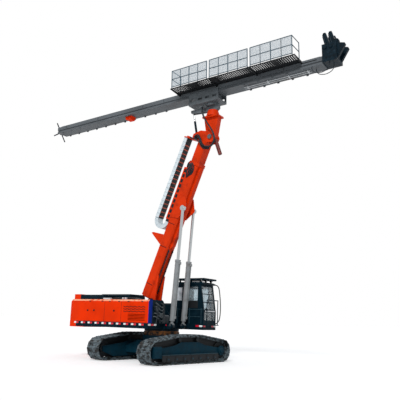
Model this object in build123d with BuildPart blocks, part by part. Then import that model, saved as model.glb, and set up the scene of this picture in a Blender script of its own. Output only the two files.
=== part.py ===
"""Anchor drilling rig: crawler, slewing upper, telescopic boom, tilting head, turning mast.

Millimetres, +Z up, +X the way the cab faces, +Y its left side, origin on the slew axis at the ground.
"""
import math
import os

from build123d import *

# Sizes: clearances and sheets
GAP = 6
SEAT = 0.3
SHEET = 8

# Sizes: undercarriage, along its own x
TRACK_YAW = 84
GAUGE = 2770
SHOE_W = 700
WHEEL_X = 1950
WHEEL_Z = 450
GROUSER = 28
PLATE_R = WHEEL_Z - GROUSER
HUMP_X = 520
HUMP_R = 200
HUMP_TOP = 1090
SHOES = 46
PLATE_T = 14
LINK_H = 70
LINK_W = 240
FRAME_HALF = 130
CHEEK = 30
ROLLER_R = 75
CARBODY_Z = (420, 800)
RING_R = 700
RING_Z = (1000, 1180)

# Sizes: upper deck and its housings
DECK_Z = (1260, 1470)
HALF_W = 1500
REAR_X = -3590
WEIGHT_FRONT = -2950
HOOD_END = 470
HOOD_IN = -560
HOOD_TOP = 2360
DECK_NOSE = 600
PED_Y = (285, 335)

# Sizes: cab
CAB_X = (280, 1650)
CAB_Y = (560, 1500)
CAB_Z = (DECK_Z[1], 3080)
CAB_WALL = 40
ROOF_T = 100

# Sizes: boom, in its own frame with the foot pin at the origin and z along the boom
PIVOT = (-410, 0, 2320)
LEAN = 22.2
BOOM_X = (-630, -170)
BOOM_HALF = 280
BOOM_WALL = 14
BOOM_END = 6060
BOOM_CHAMFER = 60
COLLAR = 25
FOOT_PIN = 60
EYE_X = -30
EYE_Z = 4090

# Sizes: lift cylinders
LIFT_PIN = (780, 1390)
LIFT_Y = 390
BARREL_R = 105
BARREL_L = 2610
ROD_R = 60
NECK_L = 190
LIFT_PIN_R = 55
EYE_R = 110
EYE_HALF = 60

# Sizes: energy chain, in the boom frame
CHAIN_HALF = 170
CHAIN_T = 170
CHAIN_BACK = -1415
TRAY_Z = (3420, 5740)
TRAY_D = 220
LOOP_Z = 3290
CHAIN_TOP = 6950

# Sizes: head, in its own frame with the tilt pin at the origin, and the mast above it
HEAD_PIN = (-140, 7250)
HEAD_TILT = -1.2
FORK_Y = (150, 200)
TILT_LOW = (-900, 7090)
TILT_HIGH = (-960, 1330)
TILT_BARREL = 760
TILT_PIN_R = 30
HEAD_PIN_R = 70
YOKE_Z = (1200, 1410)
MAST_Z = (1890, 2190)
MAST_HALF = 300
MAST_X = (-9200, 5000)
CRADLE_X = (-1000, 480)
FLOOR_X = (-1500, 4200)
FLOOR_Y = (-1020, -320)
RAIL_H = 800
CLAMP_L = 560
GUIDE_R = 120
GUIDE_UP = 300

# Sizes: hoses
HOSE_D = 46
HOSE_Y = (-320, -385)
LOOP_D = 28
LOOP_Y = (-220, 0)

def rotated(x, z, degrees):
    """Turns a side point about Y: z leans toward +x by the angle."""
    a = math.radians(degrees)
    return (x * math.cos(a) + z * math.sin(a), z * math.cos(a) - x * math.sin(a))


# Frames of the moving groups
TRACK_FRAME = Location((0, 0, 0), (0, 0, TRACK_YAW))
BOOM_FRAME = Location(PIVOT, (0, LEAN, 0))
EYE_WORLD = [p + o for p, o in zip(rotated(EYE_X, EYE_Z, LEAN), (PIVOT[0], PIVOT[2]))]
LIFT_LEAN = math.degrees(math.atan2(EYE_WORLD[0] - LIFT_PIN[0], EYE_WORLD[1] - LIFT_PIN[1]))
LIFT_L = math.hypot(EYE_WORLD[0] - LIFT_PIN[0], EYE_WORLD[1] - LIFT_PIN[1])
LIFT_FRAME = Location((LIFT_PIN[0], 0, LIFT_PIN[1]), (0, LIFT_LEAN, 0))
HEAD_WORLD = [p + o for p, o in zip(rotated(*HEAD_PIN, LEAN), (PIVOT[0], PIVOT[2]))]
HEAD_FRAME = Location((HEAD_WORLD[0], 0, HEAD_WORLD[1]), (0, HEAD_TILT, 0))
LOW_WORLD = [p + o for p, o in zip(rotated(*TILT_LOW, LEAN), (PIVOT[0], PIVOT[2]))]
HIGH_WORLD = [p + o for p, o in zip(rotated(*TILT_HIGH, HEAD_TILT), HEAD_WORLD)]
TILT_LEAN = math.degrees(math.atan2(HIGH_WORLD[0] - LOW_WORLD[0], HIGH_WORLD[1] - LOW_WORLD[1]))
TILT_L = math.hypot(HIGH_WORLD[0] - LOW_WORLD[0], HIGH_WORLD[1] - LOW_WORLD[1])
TILT_FRAME = Location((LOW_WORLD[0], 0, LOW_WORLD[1]), (0, TILT_LEAN, 0))
WORLD = Location((0, 0, 0))


def block(x, y, z, mode=Mode.ADD):
    """Adds a box between limits to the part being built."""
    with Locations(((x[0] + x[1]) / 2, (y[0] + y[1]) / 2, (z[0] + z[1]) / 2)):
        Box(x[1] - x[0], y[1] - y[0], z[1] - z[0], mode=mode)


def side(points, y, mode=Mode.ADD):
    """Adds a side profile of (x, z) points between two limits in y."""
    with BuildSketch(Plane.XZ.offset(-y[1])) as profile:
        with BuildLine():
            Polyline(*points, close=True)
        make_face()
    extrude(profile.sketch, amount=y[1] - y[0], mode=mode)


def plan(points, z, mode=Mode.ADD):
    """Adds a plan outline of (x, y) points between two limits in z."""
    with BuildSketch(Plane.XY.offset(z[0])) as outline:
        with BuildLine():
            Polyline(*points, close=True)
        make_face()
    extrude(outline.sketch, amount=z[1] - z[0], mode=mode)


def rod(a, b, r, mode=Mode.ADD):
    """Adds a round bar between two points."""
    way = Vector(*b) - Vector(*a)
    with BuildSketch(Plane(origin=a, z_dir=way)) as ring:
        Circle(r)
    extrude(ring.sketch, amount=way.length, mode=mode)


def mirrored(limits):
    """Gives a pair of limits in y and its mirror image."""
    return (limits, (-limits[1], -limits[0]))


os.makedirs("parts", exist_ok=True)


def save(label, part, frame=WORLD):
    """Moves a finished part into the shared frame and writes it as one STEP file."""
    placed = part.moved(frame)
    placed.label = label
    export_step(placed, f"parts/{label}.step")


# Track loops: a belt round four circles, its shoes laid along it

def belt(shrink):
    """Gives the belt's straights and arcs round the wheels, in from the shoe plates by shrink."""
    hump_z = HUMP_TOP - GROUSER - HUMP_R
    wheels = [(WHEEL_X, WHEEL_Z, PLATE_R - shrink), (HUMP_X, hump_z, HUMP_R - shrink),
              (-HUMP_X, hump_z, HUMP_R - shrink), (-WHEEL_X, WHEEL_Z, PLATE_R - shrink)]
    normals = []
    for (x0, z0, r0), (x1, z1, r1) in zip(wheels, wheels[1:] + wheels[:1]):
        way = math.atan2(z1 - z0, x1 - x0)
        normals.append(way - math.acos((r0 - r1) / math.hypot(x1 - x0, z1 - z0)))
    runs = []
    for i, (x, z, r) in enumerate(wheels):
        start = normals[i - 1]
        sweep = (normals[i] - start) % (2 * math.pi)
        runs.append((x, z, r, start, sweep))
    return runs


def on_circle(x, z, r, angle):
    return (x + r * math.cos(angle), z + r * math.sin(angle))


def belt_face(shrink):
    """Draws the belt as lines and arcs in the sketch being built."""
    runs = belt(shrink)
    with BuildLine() as line:
        for (x, z, r, start, sweep), (nx, nz, nr, nstart, _) in zip(runs, runs[1:] + runs[:1]):
            ThreePointArc(on_circle(x, z, r, start), on_circle(x, z, r, start + sweep / 2),
                          on_circle(x, z, r, start + sweep))
            Line(on_circle(x, z, r, start + sweep), on_circle(nx, nz, nr, nstart))
    return line.line


def belt_points(count):
    """Gives evenly spaced points along the belt of the shoe plates."""
    runs = belt(0)
    pieces = []
    for (x, z, r, start, sweep), (nx, nz, nr, nstart, _) in zip(runs, runs[1:] + runs[:1]):
        pieces.append(("arc", x, z, r, start, sweep, r * sweep))
        a = on_circle(x, z, r, start + sweep)
        b = on_circle(nx, nz, nr, nstart)
        pieces.append(("line", a, b, 0, 0, 0, math.dist(a, b)))
    total = sum(piece[-1] for piece in pieces)
    points = []
    for k in range(count):
        s = total * k / count
        for kind, p, q, r, start, sweep, length in pieces:
            if s <= length:
                t = s / length
                if kind == "arc":
                    points.append(on_circle(p, q, r, start + sweep * t))
                else:
                    points.append((p[0] + (q[0] - p[0]) * t, p[1] + (q[1] - p[1]) * t))
                break
            s -= length
    return points


# One shoe: share of its pitch, height over the plate
SHOE = ((0.02, -2), (0.09, 1), (0.16, 0.15), (0.43, 0.15), (0.5, 0.85), (0.57, 0.15), (0.84, 0.15), (0.91, 1),
        (0.98, -2))


def shoe_outline():
    """Gives the loop's outer edge, three ribs to a shoe."""
    ends = belt_points(SHOES)
    edge = []
    for (x0, z0), (x1, z1) in zip(ends, ends[1:] + ends[:1]):
        pitch = math.hypot(x1 - x0, z1 - z0)
        tx, tz = (x1 - x0) / pitch, (z1 - z0) / pitch
        for share, height in SHOE:
            h = GROUSER * height if height > 0 else height
            edge.append((x0 + tx * pitch * share + tz * h, z0 + tz * pitch * share - tx * h))
    return edge


def track(centre):
    """One track: shoe plates in outline, and the link chain that the wheels carry."""
    with BuildPart() as loop:
        with BuildSketch(Plane.XZ.offset(-(centre + SHOE_W / 2))) as band:
            with BuildLine():
                Polyline(*shoe_outline(), close=True)
            make_face()
            inner = belt_face(PLATE_T)
            make_face(inner, mode=Mode.SUBTRACT)
        extrude(band.sketch, amount=SHOE_W)
        with BuildSketch(Plane.XZ.offset(-(centre + LINK_W / 2))) as links:
            outer = belt_face(PLATE_T)
            make_face(outer)
            inside = belt_face(PLATE_T + LINK_H)
            make_face(inside, mode=Mode.SUBTRACT)
        extrude(links.sketch, amount=LINK_W)
    return loop.part


WHEEL_R = PLATE_R - PLATE_T - LINK_H
ROLLER_Z = WHEEL_Z - WHEEL_R + ROLLER_R
ROLLERS = [-1290 + 430 * i for i in range(7)]
BEAM_Z = (290, 640)
CHEEK_Y = (FRAME_HALF, FRAME_HALF + CHEEK)


def side_frame(centre, out):
    """Track side frame: box beam, cheeks that hold the wheels and rollers, square drive cover."""
    with BuildPart() as frame:
        side([(-1500, BEAM_Z[0]), (1500, BEAM_Z[0]), (1500, 560), (900, BEAM_Z[1]), (-900, BEAM_Z[1]),
              (-1500, 560)], (centre - FRAME_HALF, centre + FRAME_HALF))
        for low, high in mirrored(CHEEK_Y):
            y = (centre + low, centre + high)
            side([(-2020, 360), (-1450, 150), (1450, 150), (2020, 360), (2020, 540), (900, 680), (HUMP_X, 800),
                  (-HUMP_X, 800), (-900, 680), (-2020, 540)], y)
        cover = sorted((centre + out * CHEEK_Y[1], centre + out * (CHEEK_Y[1] + 150)))
        block((-2170, -1730), cover, (250, 660))
    return frame.part


def wheel(x, z, r, y, half, hub):
    """Adds one flanged wheel with its axle, which ends on the cheeks."""
    rod((x, y - half, z), (x, y + half, z), r)
    rod((x, y - FRAME_HALF, z), (x, y + FRAME_HALF, z), hub)


TRACK_SIDES = (("left", GAUGE / 2, 1), ("right", -GAUGE / 2, -1))
for name, centre, out in TRACK_SIDES:
    save(f"track_{name}", track(centre), TRACK_FRAME)
    save(f"side_frame_{name}", side_frame(centre, out), TRACK_FRAME)

with BuildPart() as sprockets:
    for name, centre, out in TRACK_SIDES:
        wheel(-WHEEL_X, WHEEL_Z, WHEEL_R - SEAT, centre, 60, 160)
save("sprockets", sprockets.part, TRACK_FRAME)

with BuildPart() as idlers:
    for name, centre, out in TRACK_SIDES:
        wheel(WHEEL_X, WHEEL_Z, WHEEL_R - SEAT, centre, 70, 110)
save("idlers", idlers.part, TRACK_FRAME)

CARRIER_R = 90
CARRIER_Z = HUMP_TOP - GROUSER - PLATE_T - LINK_H - CARRIER_R - SEAT
with BuildPart() as rollers:
    for name, centre, out in TRACK_SIDES:
        for x in ROLLERS:
            wheel(x, ROLLER_Z, ROLLER_R - SEAT, centre, 110, 35)
        for x in (-HUMP_X, HUMP_X):
            rod((x, centre - 110, CARRIER_Z), (x, centre + 110, CARRIER_Z), CARRIER_R)
            block((x - 40, x + 40), (centre - 40, centre + 40), (BEAM_Z[1], CARRIER_Z))
save("track_rollers", rollers.part, TRACK_FRAME)

# Carbody: sloped cross arms between the side frames, round seat for the slew ring
ARM_Y = GAUGE / 2 - CHEEK_Y[1]
with BuildPart() as carbody:
    for x in ((-780, -330), (330, 780)):
        with BuildSketch(Plane.YZ.offset(x[0])) as arm:
            with BuildLine():
                Polyline((-ARM_Y, 300), (ARM_Y, 300), (ARM_Y, 560), (500, CARBODY_Z[1]), (-500, CARBODY_Z[1]),
                         (-ARM_Y, 560), close=True)
            make_face()
        extrude(arm.sketch, amount=x[1] - x[0])
    block((-780, 780), (-620, 620), CARBODY_Z)
    with Locations((0, 0, (CARBODY_Z[1] + RING_Z[0]) / 2)):
        Cylinder(RING_R + 60, RING_Z[0] - CARBODY_Z[1])
        Cylinder(RING_R - 160, RING_Z[0] - CARBODY_Z[1], mode=Mode.SUBTRACT)
save("carbody", carbody.part, TRACK_FRAME)

with BuildPart() as ring:
    with Locations((0, 0, (RING_Z[0] + RING_Z[1]) / 2)):
        Cylinder(RING_R, RING_Z[1] - RING_Z[0])
        Cylinder(RING_R - 110, RING_Z[1] - RING_Z[0], mode=Mode.SUBTRACT)
save("slew_ring", ring.part, TRACK_FRAME)

# Upper deck: top plate, skirts, centre beams under the pedestal, upper race of the slew ring
SKIRT = 30
DECK_PLAN = [(WEIGHT_FRONT, -HALF_W), (HOOD_END, -HALF_W), (HOOD_END, HOOD_IN), (DECK_NOSE, HOOD_IN),
             (DECK_NOSE, CAB_Y[0]), (CAB_X[1], CAB_Y[0]), (CAB_X[1], HALF_W), (WEIGHT_FRONT, HALF_W)]
with BuildPart() as deck:
    plan(DECK_PLAN, DECK_Z)
    with BuildSketch(Plane.XY.offset(DECK_Z[0])) as hollow:
        with BuildLine():
            Polyline(*DECK_PLAN, close=True)
        make_face()
        offset(amount=-SKIRT, kind=Kind.INTERSECTION, mode=Mode.REPLACE)
    extrude(hollow.sketch, amount=DECK_Z[1] - DECK_Z[0] - SKIRT, mode=Mode.SUBTRACT)
    for y in mirrored(PED_Y):
        block((WEIGHT_FRONT + SKIRT, DECK_NOSE - SKIRT), y, (DECK_Z[0], DECK_Z[1] - SKIRT))
    for x in (-2300, -1500, -740, HOOD_END - SKIRT):
        block((x, x + SKIRT), (-HALF_W + SKIRT, HALF_W - SKIRT), (DECK_Z[0], DECK_Z[1] - SKIRT))
    with Locations((0, 0, (RING_Z[1] + SEAT + DECK_Z[1] - SKIRT) / 2)):
        Cylinder(RING_R, DECK_Z[1] - SKIRT - RING_Z[1] - SEAT)
        Cylinder(RING_R - 110, DECK_Z[1] - SKIRT - RING_Z[1] - SEAT, mode=Mode.SUBTRACT)
    for sign in (-1, 1):
        for low, high in ((-105, -75), (75, 105)):
            y = (sign * LIFT_Y + low, sign * LIFT_Y + high)
            side([(DECK_NOSE, DECK_Z[0]), (LIFT_PIN[0], DECK_Z[0]), (LIFT_PIN[0] + 100, LIFT_PIN[1] - 60),
                  (LIFT_PIN[0] + 100, LIFT_PIN[1] + 40), (LIFT_PIN[0] + 40, LIFT_PIN[1] + 90),
                  (DECK_NOSE, DECK_Z[1])], y)
        rod((LIFT_PIN[0], sign * LIFT_Y - 120, LIFT_PIN[1]), (LIFT_PIN[0], sign * LIFT_Y + 120, LIFT_PIN[1]),
            LIFT_PIN_R + SEAT, mode=Mode.SUBTRACT)
save("upper_deck", deck.part)

# Boom pedestal: two triangular plates with a cross tube
with BuildPart() as pedestal:
    for y in mirrored(PED_Y):
        side([(-1150, DECK_Z[1]), (420, DECK_Z[1]), (PIVOT[0] + 150, PIVOT[2] + 40), (PIVOT[0] + 80, PIVOT[2] + 140),
              (PIVOT[0] - 80, PIVOT[2] + 140), (PIVOT[0] - 160, PIVOT[2] + 40)], y)
    rod((PIVOT[0], -PED_Y[1], PIVOT[2]), (PIVOT[0], PED_Y[1], PIVOT[2]), FOOT_PIN + SEAT, mode=Mode.SUBTRACT)
save("boom_pedestal", pedestal.part)

with BuildPart() as manifold:
    rod((60, -PED_Y[0], 1720), (60, PED_Y[0], 1720), 90)
    block((-60, 180), (-200, 200), (DECK_Z[1], 1700))
save("valve_manifold", manifold.part)

# Counterweight: rounded rear corners, two lifting eyes on top
LIFT_EYE_R = 40
with BuildPart() as weight:
    block((REAR_X, WEIGHT_FRONT), (-HALF_W, HALF_W), (1230, 2290))
    fillet(weight.edges().filter_by(Axis.Z).group_by(Axis.X)[0], 330)
    chamfer(weight.faces().sort_by(Axis.Z)[-1].edges().filter_by(Axis.X, reverse=True), 50)
    for y in (-900, 900):
        block((-3330, -3170), (y - 30, y + 30), (2290, 2400))
        rod((-3250, y - 30, 2345), (-3250, y + 30, 2345), LIFT_EYE_R, mode=Mode.SUBTRACT)
save("counterweight", weight.part)


def hood(x, y, z, bevel):
    """A sheet hood, open below, with bevelled long top edges."""
    with BuildPart() as shell:
        block(x, y, z)
        chamfer(shell.faces().sort_by(Axis.Z)[-1].edges().filter_by(Axis.X), bevel)
        inner = (x[0] + SHEET, x[1] - SHEET)
        with BuildSketch(Plane.YZ.offset(inner[0])) as room:
            with BuildLine():
                Polyline((y[0] + SHEET, z[0]), (y[1] - SHEET, z[0]), (y[1] - SHEET, z[1] - bevel - SHEET),
                         (y[1] - bevel - SHEET, z[1] - SHEET), (y[0] + bevel + SHEET, z[1] - SHEET),
                         (y[0] + SHEET, z[1] - bevel - SHEET), close=True)
            make_face()
        extrude(room.sketch, amount=inner[1] - inner[0], mode=Mode.SUBTRACT)
    return shell.part


with BuildPart() as right_hood:
    add(hood((WEIGHT_FRONT, HOOD_END - SHEET), (-HALF_W, HOOD_IN), (DECK_Z[1], HOOD_TOP), 70))
    for row in range(5):
        z = 1560 + 55 * row
        block((-560, 300), (-HALF_W - 5, -HALF_W + SHEET + 5), (z, z + 22), mode=Mode.SUBTRACT)
save("right_hood", right_hood.part)

with BuildPart() as end_panel:
    block((HOOD_END - SHEET, HOOD_END + 12), (-HALF_W, HOOD_IN), (DECK_Z[1], HOOD_TOP))
    chamfer(end_panel.faces().sort_by(Axis.Z)[-1].edges().filter_by(Axis.X), 70)
save("hood_end_panel", end_panel.part)

save("left_hood", hood((WEIGHT_FRONT, 150), (480, HALF_W), (DECK_Z[1], 2300), 60))
save("engine_hood", hood((WEIGHT_FRONT, -1350), (HOOD_IN, 480), (DECK_Z[1], 2620), 60))

with BuildPart() as engine:
    block((-2700, -1550), (-380, 320), (DECK_Z[1], 2350))
save("engine_block", engine.part)

# Cab: hollow shell with cut windows, roof, glass, seat, door
CAB_SIDE = [(CAB_X[0], CAB_Z[0]), (CAB_X[1], CAB_Z[0]), (CAB_X[1], 1980), (1480, CAB_Z[1]), (CAB_X[0], CAB_Z[1])]
# Windows: x limits, y limits, z limits
WINDOWS = (((1200, 1800), (CAB_Y[0] + 60, CAB_Y[1] - 60), (2060, 3000)),
           ((1560, 1800), (CAB_Y[0] + 60, CAB_Y[1] - 60), (1640, 1960)),
           ((620, 1340), (CAB_Y[0] - 60, CAB_Y[0] + 100), (2150, 2990)),
           ((CAB_X[0] - 60, CAB_X[0] + 100), (CAB_Y[0] + 90, CAB_Y[1] - 90), (2200, 2980)))
DOOR_X = (420, 1360)
DOOR_Z = (1530, 3010)
DOOR_WINDOW = ((520, 1270), (2080, 2930))
HINGE = (412, CAB_Y[1] + 16)
HINGE_Z = (1750, 2750)
HINGE_R = 14


def cab_skin(inset, thick):
    """Gives a shell of the cab's outline, inset from its outer faces and so thick."""
    with BuildPart() as skin:
        for grow, mode in ((inset, Mode.ADD), (inset + thick, Mode.SUBTRACT)):
            with BuildSketch(Plane.XZ.offset(-(CAB_Y[1] - grow))) as outline:
                with BuildLine():
                    Polyline(*CAB_SIDE, close=True)
                make_face()
                if grow:
                    offset(amount=-grow, kind=Kind.INTERSECTION, mode=Mode.REPLACE)
            extrude(outline.sketch, amount=CAB_Y[1] - CAB_Y[0] - 2 * grow, mode=mode)
    return skin.part


with BuildPart() as cab:
    add(cab_skin(0, CAB_WALL))
    for x, y, z in WINDOWS:
        block(x, y, z, mode=Mode.SUBTRACT)
    block(DOOR_X, (CAB_Y[1] - 60, CAB_Y[1] + 10), DOOR_Z, mode=Mode.SUBTRACT)
    for z in HINGE_Z:
        rod((*HINGE, z - 60), (*HINGE, z), HINGE_R)
        block((HINGE[0] - 58, HINGE[0]), (HINGE[1] - 8, HINGE[1] + 4), (z - 60, z))
        block((HINGE[0] - 58, HINGE[0] - 20), (CAB_Y[1], HINGE[1] - 8), (z - 60, z))
save("cab_shell", cab.part)

with BuildPart() as panes:
    for x, y, z in WINDOWS:
        block(x, y, z)
with BuildPart() as glass:
    add(cab_skin(14, 10))
    add(panes.part, mode=Mode.INTERSECT)
save("cab_glass", glass.part)

with BuildPart() as roof:
    side([(CAB_X[0] - 20, CAB_Z[1]), (1590, CAB_Z[1]), (1620, CAB_Z[1] + 40), (1480, CAB_Z[1] + ROOF_T),
          (CAB_X[0] - 20, CAB_Z[1] + ROOF_T)], (CAB_Y[0] - 20, CAB_Y[1] + 20))
save("cab_roof", roof.part)

with BuildPart() as lamps:
    top = CAB_Z[1] + ROOF_T
    for y in (CAB_Y[0] + 70, sum(CAB_Y) / 2, CAB_Y[1] - 70):
        block((1380, 1440), (y - 25, y + 25), (top, top + 60))
        rod((1370, y, top + 95), (1460, y, top + 95), 58)
save("work_lamps", lamps.part)

with BuildPart() as seat:
    floor = CAB_Z[0] + CAB_WALL
    block((620, 1000), (900, 1160), (floor, floor + 330))
    block((560, 1080), (780, 1280), (floor + 330, floor + 450))
    block((560, 680), (790, 1270), (floor + 450, floor + 1050))
    block((1380, 1500), (800, 1260), (floor, floor + 480))
save("cab_seat", seat.part)

with BuildPart() as door:
    block((DOOR_X[0] + GAP, DOOR_X[1] - GAP), (CAB_Y[1] - CAB_WALL, CAB_Y[1]), (DOOR_Z[0] + GAP, DOOR_Z[1] - GAP))
    block(DOOR_WINDOW[0], (CAB_Y[1] - 60, CAB_Y[1] + 10), DOOR_WINDOW[1], mode=Mode.SUBTRACT)
    for z in HINGE_Z:
        rod((*HINGE, z + SEAT), (*HINGE, z + 60), HINGE_R)
        block((HINGE[0], HINGE[0] + 58), (HINGE[1] - 8, HINGE[1] + 4), (z + SEAT, z + 60))
        block((HINGE[0] + 20, HINGE[0] + 58), (CAB_Y[1], HINGE[1] - 8), (z + SEAT, z + 60))
save("cab_door", door.part)

with BuildPart() as door_glass:
    block(DOOR_WINDOW[0], (CAB_Y[1] - 24, CAB_Y[1] - 14), DOOR_WINDOW[1])
save("cab_door_glass", door_glass.part)

with BuildPart() as handrail:
    for x in (CAB_X[1] + 120,):
        rod((x, CAB_Y[0] + 60, CAB_Z[0]), (x, CAB_Y[0] + 60, 2450), 18)
        rod((x, CAB_Y[1] - 60, CAB_Z[0]), (x, CAB_Y[1] - 60, 2450), 18)
        rod((x, CAB_Y[0] + 42, 2450), (x, CAB_Y[1] - 42, 2450), 18)
    block((CAB_X[1], CAB_X[1] + 150), CAB_Y, (CAB_Z[0] - 30, CAB_Z[0]))
save("cab_handrail", handrail.part)

# Lift cylinders, z from the base pin to the rod eye
with BuildPart() as barrels:
    for sign in (-1, 1):
        y = sign * LIFT_Y
        rod((0, y - EYE_HALF, 0), (0, y + EYE_HALF, 0), EYE_R)
        rod((0, y, 0), (0, y, NECK_L), ROD_R)
        rod((0, y, NECK_L), (0, y, BARREL_L), BARREL_R)
        rod((0, y, BARREL_L - 90), (0, y, BARREL_L), BARREL_R + 12)
        rod((0, y, NECK_L + 40), (0, y, BARREL_L - 90), ROD_R + GAP, mode=Mode.SUBTRACT)
        rod((0, y, BARREL_L - 90), (0, y, BARREL_L), ROD_R + SEAT, mode=Mode.SUBTRACT)
        rod((0, y - 125, 0), (0, y + 125, 0), LIFT_PIN_R)
save("lift_barrels", barrels.part, LIFT_FRAME)

with BuildPart() as rods:
    for sign in (-1, 1):
        y = sign * LIFT_Y
        rod((0, y, 1530), (0, y, LIFT_L), ROD_R)
        rod((0, y - EYE_HALF, LIFT_L), (0, y + EYE_HALF, LIFT_L), EYE_R)
        rod((0, y - 74, LIFT_L), (0, y + 74, LIFT_L), LIFT_PIN_R)
save("lift_rods", rods.part, LIFT_FRAME)


def boom_box(grow, z, wall):
    """A bevelled box tube, smaller than the outer boom by grow all round."""
    x = (BOOM_X[0] + grow, BOOM_X[1] - grow)
    middle = (x[0] + x[1]) / 2
    with BuildPart() as tube:
        with BuildSketch(Plane.XY.offset(z[0])) as section:
            with Locations((middle, 0)):
                Rectangle(x[1] - x[0], 2 * (BOOM_HALF - grow))
            chamfer(section.vertices(), BOOM_CHAMFER - grow / 2)
            offset(amount=-wall, kind=Kind.INTERSECTION, mode=Mode.SUBTRACT)
        extrude(section.sketch, amount=z[1] - z[0])
    return tube.part


# Outer boom: tube, foot ears, side brackets for the lift rods
with BuildPart() as outer:
    add(boom_box(0, (100, BOOM_END), BOOM_WALL))
    add(boom_box(0, (100, 130), 200))
    add(boom_box(-COLLAR, (BOOM_END - 140, BOOM_END), COLLAR + BOOM_WALL))
    for y in mirrored((170, 230)):
        side([(BOOM_X[1], 60), (-60, -140), (60, -140), (140, -60), (140, 60), (BOOM_X[1] + 40, 1100),
              (BOOM_X[1], 1100)], y)
    block((-560, BOOM_X[1]), (-230, 230), (60, 100))
    rod((0, -PED_Y[1] - 30, 0), (0, PED_Y[1] + 30, 0), FOOT_PIN)
    for y in mirrored((BOOM_HALF, BOOM_HALF + 30)):
        side([(-560, 3550), (-560, 4560), (-170, 4560), (40, 4190), (70, 4090), (40, 3990), (-170, 3620)], y)
save("outer_boom", outer.part, BOOM_FRAME)

with BuildPart() as tray:
    for y in mirrored((CHAIN_HALF + 2 * GAP, CHAIN_HALF + 2 * GAP + SHEET)):
        block((BOOM_X[0] - TRAY_D, BOOM_X[0]), y, TRAY_Z)
    block((BOOM_X[0] - TRAY_D, BOOM_X[0]), (-CHAIN_HALF - 2 * GAP, CHAIN_HALF + 2 * GAP), (TRAY_Z[1] - SHEET, TRAY_Z[1]))
    holes = 10
    for i in range(holes):
        z = TRAY_Z[0] + 60 + i * (TRAY_Z[1] - TRAY_Z[0] - 60) / holes
        block((BOOM_X[0] - TRAY_D + 50, BOOM_X[0] - 50), (-300, 300), (z, z + 150), mode=Mode.SUBTRACT)
save("chain_tray", tray.part, BOOM_FRAME)

with BuildPart() as ram:
    top = BOOM_END - 160
    side([(BOOM_X[1], 2250), (BOOM_X[1] + 110, 2450), (BOOM_X[1] + 110, top), (BOOM_X[1], top)], (-95, 95))
save("ram_housing", ram.part, BOOM_FRAME)

with BuildPart() as hoses:
    for y in (-136, 136):
        rod((BOOM_X[1] + 24, y, 330), (BOOM_X[1] + 24, y, 2260), 20)
        for z in (420, 1300, 2150):
            block((BOOM_X[1], BOOM_X[1] + 52), (y - 28, y + 28), (z, z + 40))
save("boom_hoses", hoses.part, BOOM_FRAME)

with BuildPart() as hook:
    side([(BOOM_X[0], 2230), (BOOM_X[0], 2760), (-1330, 2660), (-1400, 2600)], (-70, 70))
save("boom_hook", hook.part, BOOM_FRAME)

# Inner boom: tube with its head bracket and the arm that carries the chain's moving run
INNER = BOOM_WALL + GAP
PAD_Z = (1000, 1120)
HOSE_X = -950
HOSE_Z = CHAIN_TOP + 25
with BuildPart() as inner_boom:
    add(boom_box(INNER, (1000, 6990), 12))
    for low, high in mirrored((BOOM_HALF - INNER, BOOM_HALF - BOOM_WALL - SEAT)):
        block((BOOM_X[0] + 120, BOOM_X[1] - 120), (low, high), PAD_Z)
    block((BOOM_X[0] + BOOM_WALL + SEAT, BOOM_X[0] + INNER), (-150, 150), PAD_Z)
    block((BOOM_X[1] - INNER, BOOM_X[1] - BOOM_WALL - SEAT), (-150, 150), PAD_Z)
    block((CHAIN_BACK, BOOM_X[0] + INNER + 10), (-CHAIN_HALF - 40, CHAIN_HALF + 40), (CHAIN_TOP, CHAIN_TOP + 40))
    block((HOSE_X - 150, HOSE_X), (HOSE_Y[1] - 45, -CHAIN_HALF), (CHAIN_TOP - 10, CHAIN_TOP + 60))
save("inner_boom", inner_boom.part, BOOM_FRAME)

with BuildPart() as fork:
    block((-590, -200), (-FORK_Y[1], FORK_Y[1]), (6990, 7030))
    for y in mirrored(FORK_Y):
        side([(-590, 6990), (-200, 6990), (20, 7060), (90, 7180), (90, 7320), (10, 7420), (-200, 7470), (-700, 7400),
              (-1000, 7180), (-1000, 7030), (-900, 6990)], y)
    rod((HEAD_PIN[0], -FORK_Y[1] - 30, HEAD_PIN[1]), (HEAD_PIN[0], FORK_Y[1] + 30, HEAD_PIN[1]), HEAD_PIN_R)
    rod((TILT_LOW[0], -FORK_Y[1], TILT_LOW[1]), (TILT_LOW[0], FORK_Y[1], TILT_LOW[1]), TILT_PIN_R + SEAT,
        mode=Mode.SUBTRACT)
save("boom_head", fork.part, BOOM_FRAME)

# Energy chain: side plates of the moving run on the inner boom, core with the loop on its own slide
RUN_X = (CHAIN_BACK, CHAIN_BACK + CHAIN_T)
with BuildPart() as run:
    for y in mirrored((CHAIN_HALF + GAP, CHAIN_HALF + GAP + 16)):
        block(RUN_X, y, (LOOP_Z + 30, CHAIN_TOP))
save("chain_run", run.part, BOOM_FRAME)

FIXED_X = (BOOM_X[0] - TRAY_D + 15, BOOM_X[0] - TRAY_D + 15 + CHAIN_T)
LOOP_X = (RUN_X[0] + FIXED_X[1]) / 2
LOOP_R = (FIXED_X[1] - RUN_X[0]) / 2
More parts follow.
